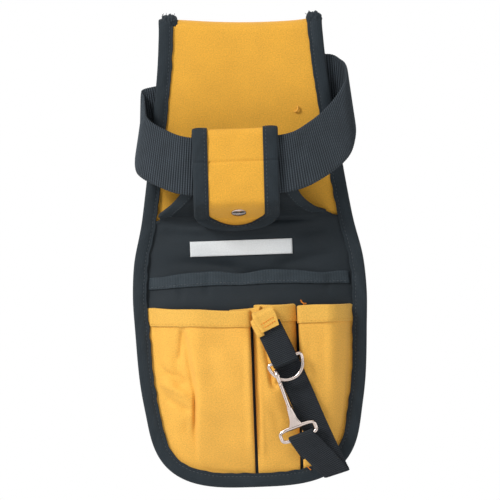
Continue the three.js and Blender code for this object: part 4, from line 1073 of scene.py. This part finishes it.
class POUCH_OT_bindings(PouchOperator, bpy.types.Operator):
    """Makes the tape round the pouch's edge, its rolled ends and the tape along the neck's two edges"""
    bl_idname = "tool_pouch.bindings"
    bl_label = "Bindings"

    def execute(self, context):
        pitch = context.scene.pouch_sizes.stitch / MM
        grid, out = binding_grid()
        tape = sheet("edge_tape", grid, "Binding tape", wall=TAPE,
                     stands_for=["edge_binding"])
        rows = [stitches(grid[4:-4, 4], out[4:-4], pitch, pitch * 0.66, 0.3, lift=0.5),
                stitches(grid[4:-4, -3], -out[4:-4], pitch, pitch * 0.66, 0.28, lift=0.5)]
        thread_piece("edge_stitching", rows, "Black thread")
        for name, side, top in (("left", -1, 15.6), ("right", 1, 13.2)):
            end = sheet(f"tape_end_{name}", tape_end(side, top), "Binding tape", wall=1.1)
        fray = []
        for side, top in ((-1, 14.6), (1, 12.6)):
            draw = np.random.default_rng(80 + side).uniform(-1, 1, (14, 5))
            for dx, turn, lean, curl, far in draw:
                t = np.linspace(0, 1, 9)[:, None]
                a = np.radians(75 + 38 * turn)
                out_dir = np.array([0.5 * lean, -math.cos(a), math.sin(a)])
                root = np.array([side * 62.3 + 5.5 * dx, ROLL_Y, ROLL_Z]) + (top - 2.5) * out_dir * [0, 1, 1]
                bow = np.array([curl, lean, 0.6 * curl])
                fray.append(wire(root + t * (2.6 + far) * out_dir + t * (1 - t) * 2.2 * bow, 0.2, 6))
        solid("frayed_threads", fray, "Black thread")
        neck = neck_grid(columns=101)
        width = np.linalg.norm(np.gradient(neck, axis=1), axis=-1).mean(1)
        rows = []
        for name, side in (("left", -1), ("right", 1)):
            count = np.linspace(10.5, 0, 12)
            step = count[None] / width[8:, None]
            at = step if side < 0 else 100 - step
            k = np.clip(at.astype(int), 0, 99)
            w = (at - k)[..., None]
            r = np.arange(8, len(neck))[:, None]
            strip = neck[r, k] * (1 - w) + neck[r, k + 1] * w
            tang = unit(strip[:, -1] - strip[:, -2])
            folded = fold_over(np.moveaxis(strip, 1, 0), 1.35, tang)
            piece = sheet(f"neck_tape_{name}", folded, "Binding tape", wall=TAPE,
                          stands_for=[f"neck_binding_{name}"])
            top = normals(strip)
            rows.append(stitches(strip[:, 2], top[:, 2], pitch, pitch * 0.66, 0.3, lift=1.9))
        thread_piece("neck_stitching", rows, "Black thread")
        return {"FINISHED"}


# ---- Tool loop -------------------------------------------------------------------------------------
LOOP = [
    [0, 4.2, -12, -0.15, 0, 1], [40, 4.2, -6, -0.14, 0, 1], [74, 4.2, -0.5, -0.05, 0, 1],
    [87, 3.2, -6, -0.04, 0.02, 1], [92.5, -4, -12.5, -0.1, 0, 1], [91.5, -16, -26, -0.16, 0, 1],
    [81.5, -27, -43, -0.28, 0.1, 1], [62, -37.3, -58.5, -0.24, 0.1, 1], [37, -44.9, -69, -0.08, 0.03, 1],
    [-7, -45.3, -70.5, 0, 0, 1], [-50, -44.9, -69, 0.08, 0.03, 1], [-73, -37, -60.5, 0.16, 0.1, 1],
    [-87.5, -26.5, -50.5, 0.2, 0.08, 1], [-89.6, -12, -39, 0.2, 0, 1], [-88.4, -1, -31, 0.12, 0, 1],
    [-87, 3.8, -26.5, 0, 0, 1], [-74, 4.2, -23.5, -0.12, 0, 1], [-40, 4.2, -18.5, -0.15, 0, 1],
]  # middle of the webbing and the way its width runs


class POUCH_OT_tool_loop(PouchOperator, bpy.types.Operator):
    """Makes the wide webbing loop that goes through the belt tunnel and under the snap tab"""
    bl_idname = "tool_pouch.tool_loop"
    bl_label = "Tool loop"

    def execute(self, context):
        rib = context.scene.pouch_sizes.rib / MM
        track = even(LOOP, 1500, closed=True)
        run = np.linalg.norm(np.roll(track[:, :3], -1, 0) - track[:, :3], axis=1).sum()
        rib = run / round(run / rib)
        grid, uv = webbing(track, 49.4, 1.9, rib, across=26, closed=True, lift=0.42)
        bpy.data.materials["Loop webbing"].node_tree.nodes["Group"].inputs["Rib"].default_value = rib * MM
        band = solid("loop_webbing", [grid], "Loop webbing", stands_for=["tool_loop_band"],
                     wrap=(True, True), uv=uv)
        return {"FINISHED"}


# ---- Snap tab --------------------------------------------------------------------------------------
TAB_PATH = [[-42.6, -41.4], [-44.2, -38.9], [-47.2, -39.4], [-49.2, -43], [-49.8, -50], [-50.3, -64],
            [-51, -84], [-50, -98], [-46, -103.8], [-37, -108.2], [-28.5, -112], [-23.8, -114.4],
            [-22.2, -118.5], [-21.8, -125.5]]


def tab_track(count):
    """Points down the middle of the tab, their outward directions and the length left to its end."""
    track = even([[TAB_X, y, z] for y, z in TAB_PATH], count)
    ahead = unit(np.gradient(track, axis=0))
    out = np.stack([0 * ahead[:, 0], ahead[:, 2], -ahead[:, 1]], -1)
    run = run_along(track)
    track[:, 0] -= 0.9 + 0.9 * run / run[-1]
    return track, out, run[-1] - run


def tongue(left, inset=0.0):
    """Half width of a round-ended tab at a distance from its end, as a superellipse."""
    t = np.clip(left / (TAB_END - inset), 0, 1)
    return (TAB_HALF - inset) * (1 - (1 - t) ** 2.6) ** (1 / 2.6)


def tab_outline(t, half, stop, power):
    """Across and length left to the end for an outline of the tab: t from -1 to 1 goes down the left
    side, round a superellipse that stops short of the end and up the right side."""
    length = 122.0
    side = np.abs(t) > 0.22
    turn = np.clip(np.abs(t) / 0.22, 0, 1) * np.pi / 2
    x = np.where(side, half, half * np.sin(turn) ** (2 / power))
    round_left = stop + (TAB_END + 4 - stop * 0.4) * (1 - np.cos(turn) ** (2 / power))
    top = TAB_END + 4 + stop * 0.6
    left = np.where(side, top + (length - top) * (np.abs(t) - 0.22) / 0.78, round_left)
    return np.stack([np.sign(t) * x, left], -1)


class POUCH_OT_snap_tab(PouchOperator, bpy.types.Operator):
    """Makes the yellow tab that folds over the tool loop, its tape, its stitching and the snap"""
    bl_idname = "tool_pouch.snap_tab"
    bl_label = "Snap tab"

    def execute(self, context):
        pitch = context.scene.pouch_sizes.stitch / MM
        track, out, left = tab_track(150)
        keep = left > 2.6
        u = np.linspace(-1, 1, 61)
        wide = tongue(left[keep] - 1.9, 1.9) - 1.2
        grid = track[keep][:, None] + spread(wide[:, None] * u, 0, 0)
        z = grid[..., 2]
        lift = 0.35 * ripple(grid[..., 0], z, 30, 61) * (1 - u**6) + 0.5 * (1 - u**4) * smoothstep(-z, 44, 60)
        lift -= 0.9 * np.exp(-((z - NOTCH_Z) / 1.4) ** 2)
        grid = grid + out[keep][:, None] * lift[..., None]
        cloth = sheet("tab_cloth", grid, "Yellow cloth", body=None, stands_for=["tab_flap"])
        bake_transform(cloth)

        t = np.linspace(-1, 1, 320)
        outer, inner = tab_outline(t, TAB_HALF - 1.4, 0, 2.6), tab_outline(t, TAB_HALF - 12.6, 4.6, 2.0)
        share = np.linspace(1, 0.03, 14)[:, None, None]
        legs = outer + (inner - outer) * np.concatenate([share, share[-1:].repeat(5, 0) * 0.2, share[::-1]])
        run = left[0] - left
        point = np.stack([np.interp(left[0] - legs[..., 1], run, track[:, k]) for k in range(3)], -1)
        up = unit(np.stack([np.interp(left[0] - legs[..., 1], run, out[:, k]) for k in range(3)], -1))
        point[..., 0] += legs[..., 0]
        thick = CLOTH / 2 + 0.85
        puff = 0.4 * np.sin(np.pi * np.clip((share[:, 0, 0] - 0.03) / 0.8, 0, 1)) ** 0.7
        bend = np.linspace(0, np.pi, 7)[1:-1]
        height = np.concatenate([thick + puff, thick * np.cos(bend), -thick - 0 * puff])
        edge = unit(outer - inner)[None] * (thick * np.sin(bend))[:, None, None]
        wave = ripple(t[None] * 130 + 0 * height[:, None], 0 * height[:, None], 26, 63)
        rise = height[:, None] + 0.3 * wave * (height > thick)[:, None]
        notch = np.exp(-((point[..., 2] - NOTCH_Z) / 1.1) ** 2) * (height > 0)[:, None]
        point += up * (rise - 0.7 * notch)[..., None]
        point[14:19, :, 0] += edge[..., 0]
        point[14:19, :, 2] -= edge[..., 1] * 0.6
        tape_grid = np.moveaxis(point, 0, 1)
        up = up[3]
        tape = sheet("tab_tape", tape_grid, "Binding tape", body=None, wall=TAPE,
                     stands_for=["tab_binding"])
        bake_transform(tape)
        seam = stitches(tape_grid[3:-3, 3], up[3:-3], pitch, pitch * 0.66, 0.3, lift=0.55)
        thread = thread_piece("tab_stitching", [seam], "Black thread", body=None)
        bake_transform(thread)

        axis = unit(np.array([0, -0.44, -0.9]))
        base = np.array([TAB_X, -35.2, -109.0])
        side = np.array([1.0, 0, 0])
        third = np.cross(axis, side)
        turned = {
            "snap_cap": ([(0, 0.9), (5.8, 0.9), (6.4, 1.2), (6.5, 1.7), (6.2, 2.2), (4.6, 2.75), (2.6, 3.1),
                          (0, 3.2)], "snap_tab"),
            "snap_socket": ([(0, -2.5), (1.9, -2.5), (1.9, -1.6), (2.6, -2.5), (5.2, -2.5), (5.6, -1.9),
                             (5.2, -0.95), (0, -0.95)], "snap_tab"),
            "snap_stud": ([(0, -4.5), (4.8, -4.5), (4.6, -3.8), (1.5, -3.4), (1.6, -3.0), (1.2, -2.7),
                           (0, -2.7)], "pouch"),
            "snap_post": ([(0, -8.9), (3.4, -8.6), (5.2, -7.8), (5, -7), (0, -7)], "pouch"),
        }
        for name, (profile, body) in turned.items():
            radius, height = refine(profile, 41).clip([0, -9], [7, 4]).T
            angle = np.linspace(0, 2 * np.pi, 48, endpoint=False)[None, :, None]
            spun = base + height[:, None, None] * axis + radius[:, None, None] * (
                np.cos(angle) * side + np.sin(angle) * third)
            solid(f"{name}_shell", [spun], "Nickel", body=body, stands_for=[name])
        return {"FINISHED"}


# ---- Tape strap ------------------------------------------------------------------------------------
def slant(degrees):
    """The way down a strap that leans to the right."""
    a = math.radians(degrees)
    return np.array([math.sin(a), 0, -math.cos(a)])


def across(degrees):
    """The way across such a strap."""
    a = math.radians(degrees)
    return np.array([math.cos(a), 0, math.sin(a)])


def level(point, y):
    """A point moved to another depth."""
    return np.array([point[0], y, point[2]])


def strap_track():
    """The long strap: down behind the ring, folded up at the bottom and round the bar of the eye."""
    down, back = slant(STRAP_SLANT), slant(RETURN_SLANT)
    bend = 1.6 + 0.8 + 0.7
    start = level(ANCHOR, -41) - down * 4
    run = [level(start, y) + down * (at + 4) + [aside, 0, 0]
           for at, y, aside in ((30, -35.4, 2.2), (60, -34, 3.2), (90, -32.8, 3.4))]
    fold = [np.array(p) for p in ((66.8, -32.9, -331), (69.0, -33.6, -335.6), (69.5, -35.2, -337.4),
                                  (68.0, -36.9, -336))]
    angle = np.pi * np.linspace(0, 1, 7)
    wrap = [EYE_BAR + np.array([0, -bend * math.cos(a), 0]) - slant(EYE_SLANT) * bend * math.sin(a)
            for a in angle]
    rise = [fold[-1] + (wrap[0] - fold[-1]) * t for t in (0.3, 0.75)]
    tail = wrap[-1] + back * 18 + np.array([0, -0.2, 0])
    points = [start, *run, *fold, *rise, *wrap, tail]
    turns = [21, 21, 21, 21, 21, 18, 16, 18, 30, 30, *[EYE_SLANT] * 7, 26]
    return np.array([[*p, *across(t)] for p, t in zip(points, turns)])


def keeper_track():
    """The short ply that holds the ring: down behind its bar, round it and up in front."""
    down = slant(STRAP_SLANT)
    bend = 1.5 + GAP + 0.1 + 0.7
    turn = [RING_BAR + np.array([0, bend * math.cos(a), 0]) + down * (1.4 + bend * math.sin(a))
            for a in np.pi * np.linspace(0, 1, 9)]
    start, end = (level(ANCHOR, y) - down * 4 for y in (-42.9, -45.2))
    points = [start, (start + turn[0]) / 2, *turn, (end + turn[-1]) / 2, end]
    return np.array([[*p, *across(STRAP_SLANT)] for p in points])


class POUCH_OT_tape_strap(PouchOperator, bpy.types.Operator):
    """Makes the narrow strap for rolls of tape, the ply that holds its ring and its yellow sewn end"""
    bl_idname = "tool_pouch.tape_strap"
    bl_label = "Tape strap"

    def execute(self, context):
        for name, track, length, node_name in (
                ("strap_webbing", strap_track(), 0.222, "tape_strap"),
                ("keeper_webbing", keeper_track(), 0.070, "ring_keeper")):
            track = even(track, int(length * 1000 * 3.6))
            grid, uv = webbing(track, STRAP_WIDTH, 1.4, 1.6, across=18, lift=0.3)
            piece = solid(name, [grid], "Strap webbing", body=None, stands_for=[node_name], uv=uv)
            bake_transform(piece)

        lean = slant(24)
        wide = across(24)
        rear, front = -36.6, -47.6
        t = np.linspace(0, 1, 9)
        path = [level(ANCHOR, rear) + lean * 2]
        path += [level(ANCHOR, rear + (front - rear) * (1 - math.cos(math.pi * k)) / 2)
                 + lean * (-12 - 4.6 * math.sin(math.pi * k)) for k in t]
        path += [level(ANCHOR, front) + lean * 1]
        path = even(np.array(path), 60)
        u = np.linspace(-1, 1, 31)
        reach = 10.6 + 1.0 * ripple(np.linspace(0, 30, 60), np.zeros(60), 18, 71)
        grid = path[:, None] + wide * (reach[:, None] * u + 1.0 * (1 - u))[..., None]
        bulge = 0.8 * np.exp(-((u + 0.82) / 0.2) ** 2)
        grid = grid + normals(grid) * bulge[None, :, None]
        anchor = sheet("anchor_cloth", grid, "Yellow hem", wall=1.6,
                       stands_for=["strap_anchor_tab"])
        roll_at = level(ANCHOR, -44.8) - wide * 8.6
        turn = np.linspace(0, 2.35 * np.pi, 46)[:, None, None]
        spiral = 1.6 + 0.32 * turn
        length = np.linspace(-12.5, 3.5, 14)[None, :, None]
        bow = 1 - 0.25 * np.abs((length + 4.5) / 8) ** 3
        curl = roll_at + lean * length - wide * (spiral * bow * np.cos(turn)) \
            + np.array([0, 1, 0]) * (spiral * bow * np.sin(turn))
        rolled = sheet("anchor_roll", curl, "Yellow hem", wall=1.0)
        face = np.tile(FORWARD, (40, 1))
        rows = []
        for at, shift in ((-3.0, 0.0), (-6.4, 0.8)):
            line = (level(ANCHOR, front - 0.9) + lean * at)[None] + wide * np.linspace(-7, 9.4, 40)[:, None]
            line = line + lean * (0.5 * np.sin(np.linspace(0, 5, 40) + shift))[:, None]
            rows.append(stitches(line, face, 2.3, 2.0, 0.42))
        thread_piece("anchor_stitching", rows, "Orange thread")
        return {"FINISHED"}


# ---- Metal -----------------------------------------------------------------------------------------
def hook_at(along, side=0.0, front=0.0):
    """A point in the hook's own frame: up its length, across it and forwards."""
    along, side, front = (np.asarray(v, float)[..., None] for v in (along, side, front))
    return HOOK_BASE - slant(HOOK_TILT) * along + across(HOOK_TILT) * side + FORWARD * front


def hook_bar(sections, power=3.0, sides=28, count=60):
    """A tapered bar of the hook: superellipses of each section's half width and depth along its length,
    closed to a line at both ends."""
    sections = refine(np.array(sections, float), count)
    along, wide, rear, front = sections.T[..., None]
    shrink = np.ones(count)
    shrink[:4], shrink[-4:] = [0, 0.62, 0.85, 0.96], [0.96, 0.85, 0.62, 0]
    angle = np.linspace(0, 2 * np.pi, sides, endpoint=False)
    c, s = np.cos(angle), np.sin(angle)
    c, s = (np.sign(v) * np.abs(v) ** (2 / power) for v in (c, s))
    shrink = shrink[:, None]
    return hook_at(along + 0 * c, wide * shrink * c, (front + rear) / 2 + (front - rear) / 2 * shrink * s)


class POUCH_OT_metal(PouchOperator, bpy.types.Operator):
    """Makes the D-ring, the snap hook with its eye, and the hook's gate, pin and spring"""
    bl_idname = "tool_pouch.metal"
    bl_label = "Ring and hook"

    def execute(self, context):
        u, v = across(STRAP_SLANT), slant(STRAP_SLANT)
        angle = np.linspace(0, np.pi, 49)
        bow = np.stack([15 * np.cos(angle), 2 + 16 * np.sin(angle)], -1)
        corner = np.array([[-14.7, 0.9], [-13.9, 0.2], [-13, 0]])
        bar = np.linspace([-12.2, 0], [12.2, 0], 18)
        outline = np.concatenate([bow, corner, bar, (corner * [-1, 1])[::-1]])
        path = RING_BAR + outline[:, :1] * u + outline[:, 1:] * v
        path = even(path, 220, closed=True)
        solid("ring_wire", [wire(path, 1.5, 22, closed=True, plane=FORWARD)], "Nickel",
              body="ring", stands_for=["d_ring"], wrap=(True, True))

        turn = np.linspace(0, np.pi, 15)
        nose = hook_at(HOOK_REACH - NOSE_R + 1.2 + NOSE_R * np.sin(turn), 0 * turn, -NOSE_R * np.cos(turn))
        spine = np.concatenate([hook_at([12, 22, 31], [0, 0, 0], [-3.8, -NOSE_R, -NOSE_R]), nose,
                                hook_at([HOOK_REACH - NOSE_R - 3], [0], [NOSE_R - 0.2])])
        spine = wire(even(spine, 110), 1.85, 20, plane=across(HOOK_TILT))
        angle = np.linspace(0, 2 * np.pi, 160, endpoint=False)
        c, s = (np.sign(w) * np.abs(w) ** (2 / 4.2) for w in (np.cos(angle), np.sin(angle)))
        eye_u, eye_v = across(EYE_SLANT), -slant(EYE_SLANT)
        eye = EYE_BAR + eye_v * 10.2 + (15.7 * c - 1.4)[:, None] * eye_u + (5.1 * (s - 1))[:, None] * eye_v
        thick = 1.6 + 0.35 * np.exp(-((angle - np.pi / 2) / 0.5) ** 2)
        eye = wire(eye, thick, 20, closed=True, plane=FORWARD)
        block = hook_bar([[-1.6, 6.6, -2.2, 2.2], [1.2, 5.4, -2.8, 3.2], [5, 4.1, -4.6, 5.0],
                          [10, 3.4, -5.8, 6.1], [16, 2.7, -6.1, 6.2], [21, 2.1, -6.2, 2.0],
                          [26, 1.6, -6.3, -3.3]], power=3.2)
        solid("hook_frame", [block, spine], "Nickel", body="snap_hook",
              stands_for=["hook_body"])
        solid("hook_eye", [eye], "Nickel", body="snap_hook", wrap=(True, True))
        top = HOOK_REACH - NOSE_R - 5.2
        solid("gate_bar", [hook_bar([[7.5, 1.1, 3.0, 5.4], [12, 1.4, 2.6, 6.3], [17, 1.5, 3.4, 6.9],
                                     [24, 1.35, 3.8, 6.4], [31, 1.35, 3.8, 6.3], [top, 1.3, 3.9, 6.2]],
                                    power=2.6)], "Nickel", body="spring_gate",
              stands_for=["hook_gate"])
        pin = np.linspace(hook_at(PIN_AT, -2.6, 3.2), hook_at(PIN_AT, 2.6, 3.2), 8)
        solid("pin_rivet", [wire(pin, 0.9, 16, plane=FORWARD)], "Nickel", body="snap_hook",
              stands_for=["gate_pin"])
        show_cad("gate_spring", "Nickel")
        return {"FINISHED"}


class POUCH_OT_trim(PouchOperator, bpy.types.Operator):
    """Makes the plain reflective strip and the loose thread ends"""
    bl_idname = "tool_pouch.trim"
    bl_label = "Reflective strip and threads"

    def execute(self, context):
        z = np.linspace(-147, -134, 14)
        x = np.linspace(-50, 38, 60)
        xx, zz = np.meshgrid(x, z)
        grid = np.stack([xx, crown(xx, zz, UPPER_EDGE_Y, UPPER_DEPTH) + upper_folds(xx, zz) - 1.3, zz], -1)
        strip = sheet("reflective_film", grid, "Reflective film", wall=0.6,
                      stands_for=["reflective_strip"])
        loops = []
        t = np.linspace(0, 1, 14)[:, None]
        for centre, reach, seed in (((46.4, -30.5, -190.2), 2.6, 2), ((46.4, -31.5, -189.4), 2.2, 5),
                                    ((46.8, -11.5, -333.7), 2.4, 3), ((44.6, -30.8, -189.4), 2.0, 7)):
            draw = np.random.default_rng(seed).uniform(-1, 1, (3, 3))
            path = np.array(centre) + reach * (np.sin(2.6 * t) * draw[0] + np.cos(3.4 * t) * draw[1]
                                               + t * draw[2]) * [1, 0.35, 1]
            loops.append(wire(path, 0.38, 8))
        solid("loose_threads", loops, "Orange thread")
        t = np.linspace(-2.2, 1.0, 20)[:, None]
        curl = np.array([45.6, -4.4, -22.4]) + np.cos(t) * [1.6, -0.9, 0] + np.sin(t) * [0.3, 0, 2.4]
        solid("thread_nub", [wire(curl, 0.75, 10)], "Yellow thread")
        return {"FINISHED"}


class POUCH_PT_panel(bpy.types.Panel):
    """Lists the pouch's pieces in the sidebar"""
    bl_label = "Tool Pouch"
    bl_space_type = "VIEW_3D"
    bl_region_type = "UI"
    bl_category = "Tool Pouch"

    def draw(self, context):
        for settings in (context.scene.pouch_sizes, context.scene.pouch_colours):
            for key in settings.__annotations__:
                self.layout.prop(settings, key)
        for made in PIECES:
            self.layout.operator(made.bl_idname)


PIECES = (POUCH_OT_stage, POUCH_OT_back_panel, POUCH_OT_black_pockets, POUCH_OT_yellow_pockets,
          POUCH_OT_bindings, POUCH_OT_tool_loop, POUCH_OT_snap_tab, POUCH_OT_tape_strap, POUCH_OT_metal,
          POUCH_OT_trim)
CLASSES = (PouchColours, PouchSizes, *PIECES, POUCH_PT_panel)


def register():
    for made in CLASSES:
        bpy.utils.register_class(made)
    bpy.types.Scene.pouch_colours = bpy.props.PointerProperty(type=PouchColours)
    bpy.types.Scene.pouch_sizes = bpy.props.PointerProperty(type=PouchSizes)


def unregister():
    del bpy.types.Scene.pouch_sizes, bpy.types.Scene.pouch_colours
    for made in reversed(CLASSES):
        bpy.utils.unregister_class(made)


def main():
    """Builds every piece in order."""
    register()
    for made in PIECES:
        group, name = made.bl_idname.split(".")
        getattr(getattr(bpy.ops, group), name)()


if __name__ == "__main__":
    main()
